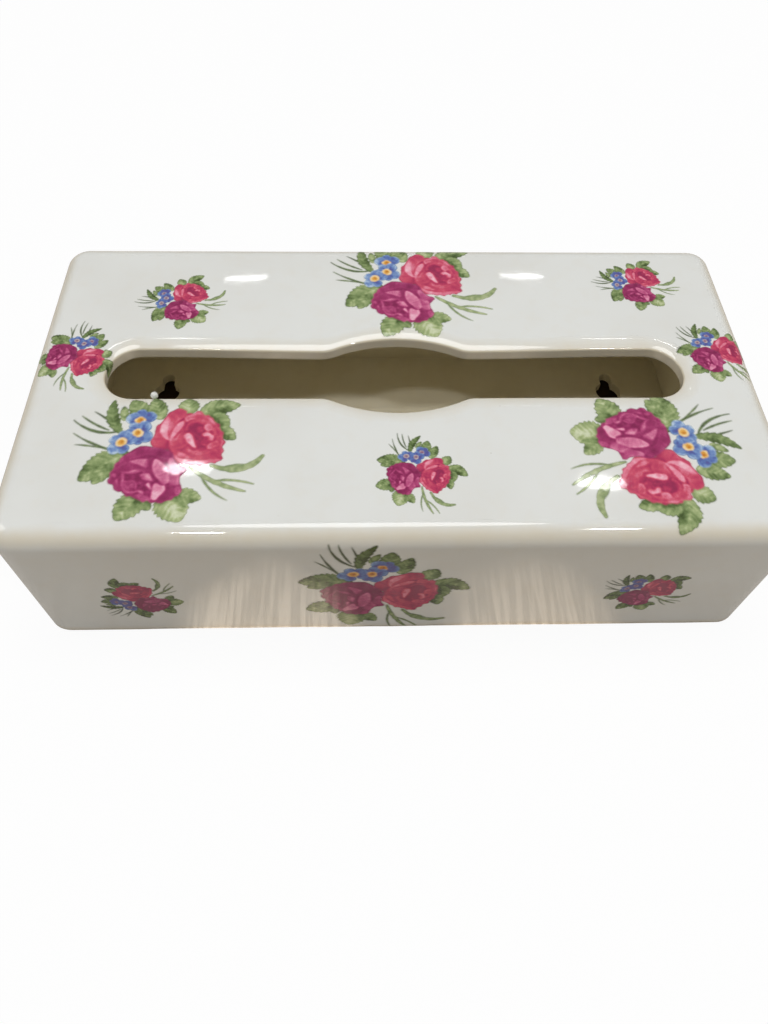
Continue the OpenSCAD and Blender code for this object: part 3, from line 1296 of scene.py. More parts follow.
def value_noise(points: Array, size: Union[float, Point], seed: int, cells: int = 64) -> Array:
    """Seeded soft noise on points.

    Args:
        points: The points.
        size: The size of its blotches, one for both axes or one for each.
        seed: Which noise.
        cells: After how many blotches it repeats.

    Returns:
        A value from -1 to 1 for each point.
    """
    lattice = np.random.default_rng(seed).uniform(-1, 1, (cells, cells))
    place = points / np.array(size, float) + 1000
    cell = np.floor(place).astype(int)
    part = place - cell
    part = part * part * (3 - 2 * part)
    i, j = cell[:, 0] % cells, cell[:, 1] % cells
    k, m = (i + 1) % cells, (j + 1) % cells
    low = lattice[i, j] * (1 - part[:, 0]) + lattice[k, j] * part[:, 0]
    high = lattice[i, m] * (1 - part[:, 0]) + lattice[k, m] * part[:, 0]
    return low * (1 - part[:, 1]) + high * part[:, 1]


@dataclass(frozen=True)
class Petal:
    """One painted petal: a closed outline in millimetres and how its ink is laid.

    The tone runs from 0, deep, to 1, pale. `rim` is added along the edge, over `rim_width`; `fade` is
    a direction in which the tone rises by `fade_by` from the middle to the side. `shadow` deepens
    what lies under its edge, `streak`, `cloud` and `folds` say how strongly those show, and the edge
    runs out over `blur` and strays by `shake`.
    """

    outline: tuple[Point, ...]
    tone: float
    rim: float = 0.0
    rim_width: float = 0.7
    fade: Point = (0.0, 0.0)
    fade_by: float = 0.0
    shadow: float = 0.13
    streak: float = 0.085
    cloud: float = 0.11
    cloud_size: float = 2.2
    folds: float = 0.36
    fold_width: float = 0.27
    fold_reach: float = 6.5
    blur: float = 0.45
    shake: float = 0.16
    shake_size: float = 1.1


@dataclass(frozen=True)
class RoseDrawing:
    """A rose in one ink: petals laid from the back to the front."""

    ink: Ink
    heart: Point
    petals: tuple[Petal, ...]


CORAL_ROSE = RoseDrawing(Ink.CORAL, (10.4, 5.8), (
    Petal((
        (-5.7, 5.4), (-5.2, 7.2), (-4.8, 9), (-4.8, 11.8), (-3.6, 13.3), (-2.5, 15.5), (-1.4, 17.7),
        (0.3, 19.2), (2, 19.9), (3.7, 19.3), (4.6, 17.7), (5.8, 17.9), (7.1, 17.5), (8.2, 18.8),
        (9.7, 18.5), (11, 16.8), (12.2, 16.9), (13.6, 15.8), (14.7, 14), (16.3, 12.8), (16.5, 10.7),
        (17.9, 9.3), (17.6, 7.1), (18.8, 5.3), (18, 3.1), (18.6, 1.5), (17.9, -0.1), (18.6, -1.7),
        (17.1, -2.3), (16.4, -3.6), (14.6, -3), (13.8, -3.9), (12.3, -3.5), (11.5, -4.6), (9.7, -3.9),
        (8.4, -4.2), (6.6, -3.5), (4.5, -3.5), (2.9, -1.7), (1.7, 0), (0.4, 1.8), (-2.1, 2.2), (-4.2, 2.6)),
        0.36, 0.16, 0.8),
    Petal((
        (-5.5, 5.4), (-4.7, 8.1), (-4.4, 10.6), (-4.3, 12.9), (-2.9, 10.4), (-1.4, 7.2), (0, 4.9), (1, 2.7),
        (-0.7, 2.3), (-2.9, 2.6), (-4.7, 3.4)), 0.42, 0.05, 0.7, (-1, 0.3), 0.16),
    Petal((
        (-3.4, 9.7), (-3.3, 12.6), (-2.2, 15.1), (-1, 17.5), (0.5, 18.8), (0.3, 15.9), (-0.4, 13.5),
        (-0.6, 11.2), (-0.4, 8.5), (0.2, 6.1), (-0.6, 6.3), (-1.9, 7.6), (-2.9, 8.7)), 0.86, 0.02, 0.7,
        (-0.6, -0.2), 0.14),
    Petal((
        (-1.2, 16.8), (0.3, 19), (2.3, 19.7), (4.3, 18.8), (4.9, 16.9), (3.9, 15.8), (2.6, 14.5),
        (1.3, 12.2), (0.4, 10.1), (0.1, 7.4), (-0.6, 11.8), (-0.2, 14.5)), 0.47, 0.12, 0.8, (0, -1), 0.2),
    Petal((
        (0.3, 4.7), (0.3, 7.5), (1, 10.7), (2.1, 13.1), (3.4, 14.4), (4.4, 14.1), (4.1, 12.1), (3.2, 10.1),
        (2.4, 8.4), (1.6, 6.6), (0.9, 4.8)), 0.8, 0, 0.7, (0.2, -0.3), 0.12),
    Petal((
        (4.2, 15.4), (5, 17), (6.7, 17.3), (8.7, 18.2), (11, 16.9), (13.3, 15.3), (15.1, 13.2),
        (15.5, 11.7), (13.6, 12.1), (11.7, 13.5), (9.8, 14.4), (8, 14.9), (6.2, 14.7), (4.9, 14)), 0.4, 0.3,
        0.9, (0, -1), 0.12),
    Petal((
        (13.6, 12.1), (15.2, 12.5), (16.8, 10.5), (17.5, 8.4), (18.1, 5.3), (17.6, 2.6), (16.3, 2.4),
        (15.3, 4.8), (15.5, 7.1), (14.9, 9.4), (13.7, 10.7)), 0.24, 0.24, 0.8, (1, 0), 0.08),
    Petal((
        (13.1, 11.7), (14, 12.1), (15.1, 10.8), (15.4, 8.8), (15.1, 6.9), (14.4, 7.3), (14.4, 9.4)), 0.34,
        0.22, 0.6),
    Petal((
        (0.4, 4), (1.6, 5.8), (3.2, 6.7), (5.1, 5.8), (6.8, 3.5), (8.4, 1.8), (10.4, 2.1), (12.5, 2.1),
        (14.6, 2.7), (16.3, 2.2), (17.4, 0.2), (16.8, -1.5), (14.3, -1.4), (11.6, -1.9), (8.8, -1.9),
        (6, -1.4), (3.5, -0.5), (1.8, 1.3)), 0.38, 0.1, 0.8, (-0.6, -0.4), 0.1),
    Petal((
        (2.9, 0), (4.5, -0.9), (6.7, -1.4), (8, -1.3), (6.9, 0), (5, 0.9), (3.6, 1.3)), 0.56, 0.04, 0.9),
    Petal((
        (2.2, 0.4), (4.6, -1.2), (7.4, -2), (10.2, -2.3), (13, -2.1), (15, -1.7), (17.1, -1.7),
        (18.2, -2.3), (16.2, -3.2), (13.8, -3.4), (11.8, -4.1), (9.4, -3.9), (6.9, -3.5), (4.9, -3.5),
        (3.3, -1.8)), 0.64, 0.1, 0.5, (-0.4, 0), 0.12),
    Petal((
        (1, 4.4), (2.1, 7.2), (3.3, 9.1), (5, 9.5), (6.6, 8.5), (6.7, 5.8), (6.2, 3.9), (4.8, 2.6),
        (3.1, 2.6), (1.6, 3)), 0.36, 0.1, 0.9, (-0.5, 0.6), 0.14),
    Petal((
        (5.3, 10.3), (5.4, 12.4), (6.3, 14), (8.3, 14.7), (10.5, 14.3), (12.1, 13.5), (12.8, 11.7),
        (12.3, 10.7), (11.1, 12.2), (9.6, 13.2), (7.8, 13.2), (6.5, 12.2), (6.1, 10.3)), 0.32, 0.18, 0.6,
        (0, -1), 0.08),
    Petal((
        (5.7, 10.1), (6.1, 12.4), (7.4, 13.5), (9.5, 13.5), (11.1, 12.2), (12.4, 10.3), (12.6, 8.4),
        (12.9, 6.2), (13.9, 4.4), (13, 2.5), (10.4, 2.5), (9.3, 3.4), (8.8, 6.2), (7.9, 8), (6.8, 9.3)),
        0.05, 0.1, 0.5, (1, 0), 0.12),
    Petal((
        (4.7, 8.4), (6.5, 9.3), (7.8, 7.7), (8.7, 5.3), (9.4, 3), (8.1, 3.4), (6.6, 4.8), (5.4, 6.6)), 0.76,
        0.08, 0.6, (0.8, -0.2), 0.16),
    Petal((
        (11, 12.1), (12, 13.2), (13.6, 12.4), (13.8, 10.5), (12.6, 9.5), (11.7, 10.1)), 0.56, 0.16, 0.5),
    Petal((
        (10.7, 8.8), (12.1, 9.6), (14, 8.6), (14.9, 7.1), (14.4, 5.6), (13.1, 6.2), (12.7, 7.5),
        (11.6, 7.5)), 0.58, 0.18, 0.5, (1, 0), 0.1),
    Petal((
        (10.9, 5.8), (12.4, 6.4), (13.9, 5.3), (13.6, 3.9), (12, 3.5), (10.9, 4.4)), 0.3, 0.14, 0.5),
    Petal((
        (12.9, 3.1), (13.6, 4.8), (15, 5.6), (16.5, 5.3), (16.7, 3.8), (15.5, 3.2), (14.1, 2.3)), 0.52,
        0.18, 0.5),
    Petal((
        (8.7, 11.7), (10.4, 11.7), (11.1, 10.1), (10.3, 9.4), (9.1, 9.6)), 0.2, 0.14, 0.4),
    Petal((
        (9, 7.5), (10.6, 7.2), (12.4, 7.3), (12.3, 6.4), (10.1, 6)), 0, 0, 0.4),
))

MAGENTA_ROSE = RoseDrawing(Ink.MAGENTA, (-9.3, -11.4), (
    Petal((
        (-17.3, -10.1), (-16.6, -8.9), (-17.1, -7.4), (-16, -5.5), (-16, -3.8), (-14.8, -2.6),
        (-14.4, -1.1), (-12.6, 0.6), (-11.1, 2), (-9.5, 3.2), (-7.2, 3.7), (-5, 3.3), (-2.9, 2.8),
        (-0.7, 2.3), (0.7, 1.8), (2.3, 0), (3.4, -2.6), (5, -4.3), (6.7, -5.6), (7.6, -6.3), (6.2, -7.9),
        (5.3, -9.9), (6.4, -12.4), (6.9, -14.3), (6.1, -16), (4.8, -16.6), (4, -17.9), (2.4, -18.2),
        (0.8, -19.1), (-0.7, -18.6), (-2.2, -19), (-3.6, -18.1), (-4.9, -18.7), (-6.3, -17.8), (-8, -17.1),
        (-9.1, -16.2), (-10.5, -16.4), (-11.6, -14.8), (-13.2, -14.5), (-14.6, -13.7), (-15.2, -11.9),
        (-16.7, -11.3)), 0.26, 0.14, 0.8),
    Petal((
        (-14.3, -1.6), (-12.9, 0), (-10.7, 1.4), (-8.4, 2.7), (-5.7, 3.2), (-2.2, 2.7), (0.5, 1.4),
        (1.1, -0.8), (-0.2, -1.8), (-3.1, -0.9), (-5.3, 0), (-7.9, -0.8), (-10.5, -1.7), (-12.3, -3.4),
        (-13.3, -5.5), (-14.6, -5.1)), 0.2, 0.16, 0.8, (-0.3, -0.6), 0.08),
    Petal((
        (-16.4, -7.6), (-15.4, -5.5), (-13.9, -3.8), (-12, -2.9), (-8.9, -3.4), (-6.2, -5.1), (-4.4, -6),
        (-3.7, -8.5), (-5.5, -7.7), (-8.5, -6), (-11.1, -6.5), (-13.4, -6.9), (-14.5, -8.5), (-15.5, -9.7)),
        0.22, 0.12, 0.8, (0, 1), 0.1),
    Petal((
        (-11.7, -2.6), (-9.8, -1.8), (-7.8, -1.6), (-5.6, -1.7), (-5, -3.4), (-5.5, -5.2), (-7, -4.8),
        (-8.8, -3.9), (-10.6, -3.5)), 0.58, 0.08, 0.7, (0.6, 0.2), 0.1),
    Petal((
        (-5.5, -1.7), (-4, -1.2), (-3.3, -1.7), (-3.8, -3.8), (-3.6, -6.4), (-2.8, -9), (-1.6, -11.1),
        (-2.5, -11.9), (-3.5, -9.8), (-4.4, -6.8), (-5.3, -4.3)), 0.18, 0.08, 0.6),
    Petal((
        (0.9, -1.8), (1.8, -1.2), (3.4, -2.6), (5, -4.3), (7.3, -5.7), (5.3, -7), (3.3, -7.5), (2.1, -5.7),
        (1.2, -3.5)), 0.56, 0.1, 0.7, (-0.6, -0.2), 0.16),
    Petal((
        (1.7, -5.6), (3.3, -7.3), (5, -7.3), (5.6, -9.9), (5.6, -12), (3.9, -12.4), (2.5, -11.5),
        (2.3, -8.6)), 0.56, 0.1, 0.8, (1, 0), 0.14),
    Petal((
        (-3.9, -3.4), (-3.3, -1.6), (-1.5, -2.5), (0.1, -4.2), (1.5, -6), (2.2, -8.6), (2.2, -11.2),
        (0.9, -12), (-0.7, -10.8), (-2.3, -8.6), (-3.5, -6.5)), 0.66, 0.12, 0.8, (0.7, 0.5), 0.2),
    Petal((
        (1.3, -12.8), (2.9, -11.9), (4.3, -13.5), (5.1, -14.7), (5.1, -16.2), (3.6, -17.3), (1.8, -18.5),
        (-0.4, -18.9), (0, -17.7), (1, -15.6)), 0.16, 0.12),
    Petal((
        (4.4, -13.2), (5.8, -12.8), (6.7, -14.3), (6, -15.7), (5.1, -15.9)), 0.4, 0.16, 0.6),
    Petal((
        (-2.6, -14.6), (-2.5, -12.4), (-1.6, -11.2), (0.2, -12.3), (1.3, -12.3), (1.6, -14.1), (1, -15.3),
        (-0.1, -16.9), (-1, -17.9), (-2.4, -17.7), (-2.6, -16.1)), 0.86, 0.06, 0.7, (0.6, -0.2), 0.12),
    Petal((
        (-15.6, -10.1), (-14.5, -8.9), (-13.2, -8.5), (-12.5, -11.4), (-12, -13.5), (-10.4, -14.9),
        (-8.4, -15.4), (-6, -15.6), (-4.2, -16.4), (-5.7, -17.4), (-8.2, -16.6), (-10.6, -16),
        (-12.5, -14.3), (-14.4, -13.1)), 0.16, 0.14),
    Petal((
        (-7, -15.6), (-5, -15.8), (-3.5, -16.6), (-2.5, -17.9), (-4, -18), (-5.7, -17.8), (-6.8, -16.8)),
        0.42, 0.2, 0.6, (1, 0), 0.1),
    Petal((
        (-11.9, -7.9), (-8.2, -7.7), (-6.6, -9.4), (-5, -11.5), (-4.2, -13.8), (-5.5, -14.6), (-7.3, -13.9),
        (-11.3, -13.9), (-12.1, -11.8), (-12.2, -9.3)), 0.03, 0.06, 0.6),
    Petal((
        (-12.2, -10.4), (-10.2, -10.4), (-8.6, -11.4), (-8, -13.1), (-8.2, -14.1), (-9.9, -13.9),
        (-11.4, -13.1), (-12.1, -11.8)), 0.22, 0.16, 0.5, (-0.5, 0.5), 0.08),
    Petal((
        (-7.5, -8.2), (-6.5, -7.6), (-4.4, -7.6), (-3.1, -9.8), (-2.9, -10.8), (-4.4, -10.4), (-5.8, -10),
        (-6.7, -9)), 0.56, 0.14, 0.5, (1, -0.2), 0.12),
    Petal((
        (-5, -12), (-3.9, -11.1), (-3.2, -12.3), (-2.8, -14.1), (-3.5, -13.6), (-4.4, -12.8)), 0.84, 0,
        0.5),
    Petal((
        (-7.5, -13.9), (-6.2, -14.1), (-5.1, -14.7), (-4.9, -15.7), (-6, -15.4), (-7.2, -14.6)), 0.76, 0,
        0.5),
    Petal((
        (-13.4, -7.5), (-12.5, -7.6), (-11.9, -9.7), (-12.1, -11.4), (-11.7, -12.9), (-10.2, -14.1),
        (-8.5, -14.5), (-7.2, -14.1), (-7.1, -15), (-8.7, -15.4), (-10.6, -15), (-12.2, -13.6),
        (-12.9, -11.4), (-12.8, -9.5)), 0.56, 0, 0.5),
    Petal((
        (-13.5, -6.6), (-11.1, -6.6), (-9.5, -5.8), (-7.8, -5.8), (-7.2, -7), (-9.3, -7.5), (-10.9, -7.6),
        (-13, -7.5)), 0.46, 0, 0.5),
    Petal((
        (-10.3, -10.1), (-8.5, -10.4), (-7.6, -11.9), (-7.6, -13.7), (-8, -13.6), (-8.3, -12.1), (-9, -11),
        (-10.2, -10.7)), 0.42, 0, 0.5),
    Petal((
        (-16.3, -7.8), (-15.1, -7.4), (-14.7, -8.5), (-15.3, -9.1)), 0.54, 0, 0.5),
    Petal((
        (-14.9, -10.1), (-14, -9.8), (-13.1, -12.2), (-12.3, -13.7), (-13.1, -13.5), (-14.3, -12)), 0.36, 0,
        0.5),
))


@dataclass(frozen=True)
class Leaf:
    """A toothed leaf from its base to its tip, in millimetres; `bow` and `bite` are shares."""

    base: Point
    tip: Point
    width: float
    teeth: int = 6
    tone: float = 0.42
    bow: float = 0.0
    bite: float = 0.19
    shadow: float = 0.16
    rib_width: float = 0.25
    vein_spacing: float = 1.9
    vein_slant: float = 0.9
    outline_points: int = 60
    belly: Point = (0.85, 0.66)
    toothed: Point = (0.08, 0.97)


@dataclass(frozen=True)
class Blade:
    """A grass blade or twig, in millimetres: a bowed stroke that thins to its tip."""

    base: Point
    middle: Point
    tip: Point
    width: float
    tone: float = 0.55
    blunt: float = 0.25
    share: float = 0.86
    points: int = 24
    base_swell: Point = (0.45, 2)
    tip_taper: float = 1.8
    ragged: float = 0.25
    margin: float = 0.5


@dataclass(frozen=True)
class Bloom:
    """A forget-me-not, in millimetres: five petals, a cream ring and an orange eye with a spot."""

    middle: Point
    turn: float
    petal_reach: float = 2.85
    petal_radius: float = 2.2
    petal_shadow: float = 0.12
    petal_tone: float = 0.16
    ring_radius: float = 1.8
    ring_shadow: float = 0.06
    ring_tone: Point = (0.92, 0.08)
    eye_radius: float = 1.2
    eye_tone: Point = (0.48, 0.14)
    spot_radius: float = 0.45
    spot_aside: float = 0.2
    spot_tone: float = 0.16
    circle_points: int = 28


LEAVES = (
    Leaf((-9.0, 15.5), (-14.4, 24.4), 7.6, 6, 0.46),
    Leaf((-3.4, 15.0), (-7.2, 25.6), 6.6, 6, 0.44),
    Leaf((-16.2, 9.0), (-20.6, 24.2), 5.0, 7, 0.30, 0.10, 0.30),
    Leaf((-15.8, 14.5), (-16.8, 21.0), 3.2, 4, 0.40),
    Leaf((5.6, 17.4), (4.4, 25.2), 7.8, 5, 0.50),
    Leaf((9.0, 17.0), (22.6, 21.8), 8.6, 8, 0.46, 0.10),
    Leaf((13.4, 17.4), (19.4, 12.0), 6.6, 5, 0.36),
    Leaf((15.6, 11.6), (22.0, 6.4), 6.0, 5, 0.40),
    Leaf((-11.6, 0.6), (-26.6, -10.2), 11.2, 10, 0.46, -0.06),
    Leaf((-17.6, -4.0), (-21.8, -11.6), 6.0, 4, 0.38),
    Leaf((-6.2, -15.6), (-12.4, -25.4), 9.6, 6, 0.46),
    Leaf((-7.0, -16.4), (-2.2, -21.6), 5.6, 4, 0.40),
    Leaf((1.4, -15.0), (7.6, -26.0), 12.0, 8, 0.68),
    Leaf((4.6, -15.4), (13.2, -17.4), 6.4, 5, 0.52),
)

BLADES = (
    Blade((-18.0, 9.6), (-26.0, 8.4), (-32.7, 14.9), 1.05, 0.24),
    Blade((-20.3, 10.5), (-25.4, 12.6), (-30.2, 16.7), 0.85, 0.28),
    Blade((-18.6, 12.6), (-22.6, 16.2), (-26.4, 18.6), 0.7, 0.28),
    Blade((-15.0, 1.3), (-24.0, 3.4), (-31.7, 9.2), 0.9, 0.28),
    Blade((-21.5, 3.0), (-26.5, 4.2), (-30.4, 4.4), 0.65, 0.34),
    Blade((15.0, -4.5), (26.0, -8.6), (31.4, -0.6), 2.6, 0.66, 0.5),
    Blade((17.6, -5.8), (22.0, -3.8), (26.6, -4.0), 0.7, 0.60),
    Blade((8.0, -5.0), (17.0, -12.5), (26.8, -14.7), 1.7, 0.68, 0.4),
    Blade((16.6, -10.6), (22.6, -9.6), (29.3, -11.9), 1.0, 0.62, 0.4),
    Blade((12.0, -8.0), (15.0, -15.0), (21.4, -18.2), 0.8, 0.58),
)

BLOOMS = (
    Bloom((-10.5, 14.75), 20),
    Bloom((-10.5, 9.3), 52),
    Bloom((-15.35, 5.3), 8),
)


Tone = Callable[[Array, Array], Array]


class SprayPainting:
    """One spray painted on a fine grid: how much of each ink lies at every point, and its tone."""

    EDGES = ((-34.5, 33.01), (-28, 28.01))
    NEAR = 1.6
    BLUR = 0.26
    SHADOW_REACH = 0.75
    STREAK_SCALES = (9, 0.35)
    COARSE_STREAKS = (0.55, 1)
    FINE_STREAKS = (0.22, 0.8)
    FINE_SHARE = 0.6
    FOLD_SCALES = (0.22, 2.2)
    FOLD_DEPTH = 0.5

    def __init__(self, step: float = 0.25) -> None:
        """Start with a bare grid.

        Args:
            step: The distance between grid points in millimetres.
        """
        self.across, self.up = (np.arange(low, high, step) for low, high in self.EDGES)
        grid = np.meshgrid(self.across, self.up, indexing="ij")
        self.points = np.stack([g.ravel() for g in grid], 1)
        size = len(self.points)
        self.tone = np.full(size, 0.5)
        self.cover = np.zeros(size)
        self.inks = {ink: np.zeros(size) for ink in Ink}

    def _near(self, outline: Array, margin: float) -> Array:
        """The grid points in a box round an outline.

        Args:
            outline: The outline.
            margin: How far the box goes beyond it.

        Returns:
            The numbers of the points.
        """
        low, high = outline.min(0) - margin, outline.max(0) + margin
        return np.nonzero(((self.points >= low) & (self.points <= high)).all(1))[0]

    def lay(self, where: Array, mask: Array, ink: Ink, tone: Array) -> None:
        """Lay ink on points.

        Args:
            where: The numbers of the points.
            mask: How much of each is covered.
            ink: The ink.
            tone: Its tone.
        """
        for other, amount in self.inks.items():
            amount[where] = amount[where] * (1 - mask) + (mask if other is ink else 0)
        fresh = self.cover[where] < 0.02
        mixed = self.tone[where] * (1 - mask) + tone * mask
        self.tone[where] = np.clip(np.where(fresh, tone, mixed), 0, 1)
        self.cover[where] = np.maximum(self.cover[where], mask)

    def shape(
        self, outline: Array, ink: Ink, tone: Tone, shadow: float = 0.0, blur: float = BLUR
    ) -> None:
        """Lay a closed shape.

        Args:
            outline: Its outline.
            ink: Its ink.
            tone: Gives the tone from the points and their depth inside the outline.
            shadow: How much deeper what lies under its edge becomes.
            blur: Over how many millimetres its edge runs out.
        """
        where = self._near(outline, self.NEAR)
        points = self.points[where]
        gap, _ = edge_distance(points, outline)
        depth = np.where(inside(points, outline), gap, -gap)
        if shadow:
            cast = np.where(depth < 0, bell(depth, self.SHADOW_REACH), 0)
            self.tone[where] = np.clip(self.tone[where] - shadow * cast, 0, 1)
        self.lay(where, np.clip(0.5 + depth / blur, 0, 1), ink, tone(points, depth))

    def petal(self, petal: Petal, ink: Ink, heart: Point, seed: int) -> None:
        """Paint one petal, with fine streaks that run away from the rose's heart.

        Args:
            petal: The petal.
            ink: Its ink.
            heart: The rose's heart.
            seed: Which streaks.
        """
        outline = closed_curve(petal.outline)
        stray = np.stack([value_noise(outline, petal.shake_size, seed + k) for k in (3, 4)], 1)
        outline = outline + petal.shake * stray
        middle, span = outline.mean(0), np.ptp(outline, 0).max() / 2
        fade = np.array(petal.fade)

        def tone(points: Array, depth: Array) -> Array:
            """The petal's tone.

            Args:
                points: Points near the petal.
                depth: How deep inside its outline they lie.

            Returns:
                The tone at each point.
            """
            away = points - heart
            reach = np.hypot(*away.T)
            polar = np.stack([np.arctan2(*away.T), reach], 1) * self.STREAK_SCALES
            fine = self.FINE_SHARE * value_noise(polar, self.FINE_STREAKS, seed + 1)
            streaks = value_noise(polar, self.COARSE_STREAKS, seed) + fine
            clouds = value_noise(points, petal.cloud_size, seed + 2)
            ridge = bell(value_noise(polar * self.FOLD_SCALES, 1.0, seed + 5), petal.fold_width)
            folds = ridge * bell(reach, petal.fold_reach) * np.clip(depth / self.FOLD_DEPTH, 0, 1)
            side = np.clip((points - middle) @ fade / span, -1, 1)
            rim = petal.rim * edge_bell(depth, petal.rim_width) * (1 + 0.3 * clouds)
            return (
                petal.tone + rim + petal.fade_by * side
                + petal.streak * streaks + petal.cloud * clouds + petal.folds * folds
            )

        self.shape(outline, ink, tone, petal.shadow, petal.blur)

    def rose(self, drawing: RoseDrawing, seed: int) -> None:
        """Paint a rose."""
        for number, petal in enumerate(drawing.petals):
            self.petal(petal, drawing.ink, drawing.heart, seed + 5 * number)

    def leaf(self, leaf: Leaf, seed: int) -> None:
        """Paint a leaf with a toothed edge, a pale midrib and side veins.

        Args:
            leaf: The leaf.
            seed: Which blotches.
        """
        base, tip = np.array(leaf.base), np.array(leaf.tip)
        length = float(np.hypot(*(tip - base)))
        along = (tip - base) / length
        across = np.array([-along[1], along[0]])
        t = np.linspace(0, 1, leaf.outline_points)
        belly = np.sin(math.pi * t ** leaf.belly[0]) ** leaf.belly[1] * leaf.width / 2
        first, last = leaf.toothed
        tooth = 1 - leaf.bite * (1 - (t * leaf.teeth % 1)) * (t < last) * (t > first)
        bowed = leaf.bow * length * np.sin(math.pi * t)
        rib = base + t[:, None] * length * along + bowed[:, None] * across
        left, right = rib + (belly * tooth)[:, None] * across, rib - (belly * tooth)[:, None] * across
        outline = np.concatenate([left, right[-2:0:-1]])

        def tone(points: Array, depth: Array) -> Array:
            """The leaf's tone.

            Args:
                points: Points near the leaf.
                depth: How deep inside its outline they lie.

            Returns:
                The tone at each point.
            """
            way, side = (points - base) @ along, (points - base) @ across
            off = side - leaf.bow * length * np.sin(math.pi * np.clip(way / length, 0, 1))
            slanted = way - leaf.vein_slant * np.abs(off)
            veins = np.sin(slanted * 2 * math.pi / leaf.vein_spacing)
            blotch = value_noise(points, 2.6, seed) + 0.5 * value_noise(points, 0.9, seed + 1)
            fleck = value_noise(np.stack([slanted, off], 1), (0.45, 1.7), seed + 2)
            return (
                leaf.tone + 0.05 + 0.14 * bell(off, leaf.rib_width) + 0.08 * veins
                + 0.08 * np.clip(off, -1, 1) + 0.26 * blotch + 0.20 * fleck - 0.02 * edge_bell(depth, 0.4)
            )

        self.shape(outline, Ink.LEAF, tone, leaf.shadow)

    def blade(self, blade: Blade, seed: int) -> None:
        """Paint a grass blade or twig.

        Args:
            blade: The blade.
            seed: Which blotches.
        """
        t = np.linspace(0, 1, blade.points)[:, None]
        base, middle, tip = (np.array(point) for point in (blade.base, blade.middle, blade.tip))
        line = (1 - t) ** 2 * base + 2 * t * (1 - t) * middle + t**2 * tip
        where = self._near(line, blade.width + blade.margin)
        points = self.points[where]
        gap, way = edge_distance(points, line, closed=False)
        start, growth = blade.base_swell
        tip = np.minimum(1, blade.blunt + (1 - way) * blade.tip_taper)
        swell = np.minimum(1, start + growth * way) * tip
        depth = blade.width / 2 * swell * (1 + blade.ragged * value_noise(points, 1.8, seed)) - gap
        tone = blade.tone + 0.22 * value_noise(points, 1.1, seed + 1) - 0.10 * bell(depth, 0.25)
        self.lay(where, blade.share * np.clip(0.5 + depth / self.BLUR, 0, 1), Ink.LEAF, tone)

    def bloom(self, bloom: Bloom, seed: int) -> None:
        """Paint a forget-me-not.

        Args:
            bloom: The flower.
            seed: Which blotches.
        """
        heart, turn = np.array(bloom.middle), bloom.turn
        circle = circle_points(bloom.circle_points)
        for number in range(5):
            angle = math.radians(turn + 72 * number + 9 * math.sin(2.3 * number + turn))
            way = np.array([math.cos(angle), math.sin(angle)])
            middle = heart + (bloom.petal_reach + 0.3 * math.sin(1.7 * number + turn)) * way
            pale = 0.16 if way[0] < -0.2 else 0.0

            def tone(
                points: Array, depth: Array, way: Array = way, pale: float = pale, number: int = number
            ) -> Array:
                """The petal's tone.

                Args:
                    points: Points near the petal.
                    depth: How deep inside its outline they lie.
                    way: The petal's direction from the middle.
                    pale: How much paler it is.
                    number: Which petal it is.

                Returns:
                    The tone at each point.
                """
                out = (points - heart) @ way
                return (
                    bloom.petal_tone + 0.05 * out + pale + 0.26 * edge_bell(depth, 0.45)
                    + 0.24 * value_noise(points, 1.3, seed + number)
                    + 0.20 * value_noise(points, 0.5, seed + 11 + number)
                )

            size = bloom.petal_radius + 0.25 * math.sin(2.9 * number + heart[1])
            radius = size + 0.34 * value_noise(middle + circle, 0.9, seed + number)
            self.shape(middle + radius[:, None] * circle, Ink.BLUE, tone, bloom.petal_shadow)
        ring = bloom.ring_radius + 0.35 * value_noise(circle, 0.7, seed + 8)
        cream = self._speckled(*bloom.ring_tone, seed + 9)
        self.shape(heart + ring[:, None] * circle, Ink.GOLD, cream, bloom.ring_shadow)
        eye = bloom.eye_radius + 0.2 * value_noise(circle, 0.7, seed + 7)
        orange = self._speckled(*bloom.eye_tone, seed + 10)
        self.shape(heart + eye[:, None] * circle, Ink.GOLD, orange)
        spot = heart + bloom.spot_radius * circle + bloom.spot_aside
        self.shape(spot, Ink.GOLD, lambda points, depth: bloom.spot_tone + 0 * depth)

    @staticmethod
    def _speckled(tone: float, strength: float, seed: int) -> Tone:
        """A tone with fine blotches of a strength."""
        return lambda points, depth: tone + strength * value_noise(points, 0.9, seed)

    def paint_all(self) -> "SprayPainting":
        """Paint the whole spray, from the grass at the back to the roses in front."""
        for number, blade in enumerate(BLADES):
            self.blade(blade, 100 + 3 * number)
        for number, leaf in enumerate(LEAVES):
            self.leaf(leaf, 200 + 3 * number)
        for number, bloom in enumerate(BLOOMS):
            self.bloom(bloom, 300 + 20 * number)
        self.rose(CORAL_ROSE, 400)
        self.rose(MAGENTA_ROSE, 500)
        self.cover *= 1 - 0.05 * (1 + value_noise(self.points, 0.7, 7))
        self.tone = self._softened(self.tone, 2)
        self.cover = self._softened(self.cover, 1)
        self.inks = {ink: self._softened(amount, 1) for ink, amount in self.inks.items()}
        return self

    def _softened(self, amount: Array, times: int) -> Array:
        """Let neighbouring grid points run together a little, as fired inks do.

        Args:
            amount: A value at every grid point.
            times: How often they run together.

        Returns:
            The softened values.
        """
        sheet = amount.reshape(len(self.across), len(self.up))
        for _ in range(times):
            for axis in (0, 1):
                sheet = (np.roll(sheet, 1, axis) + 2 * sheet + np.roll(sheet, -1, axis)) / 4
        return sheet.ravel()

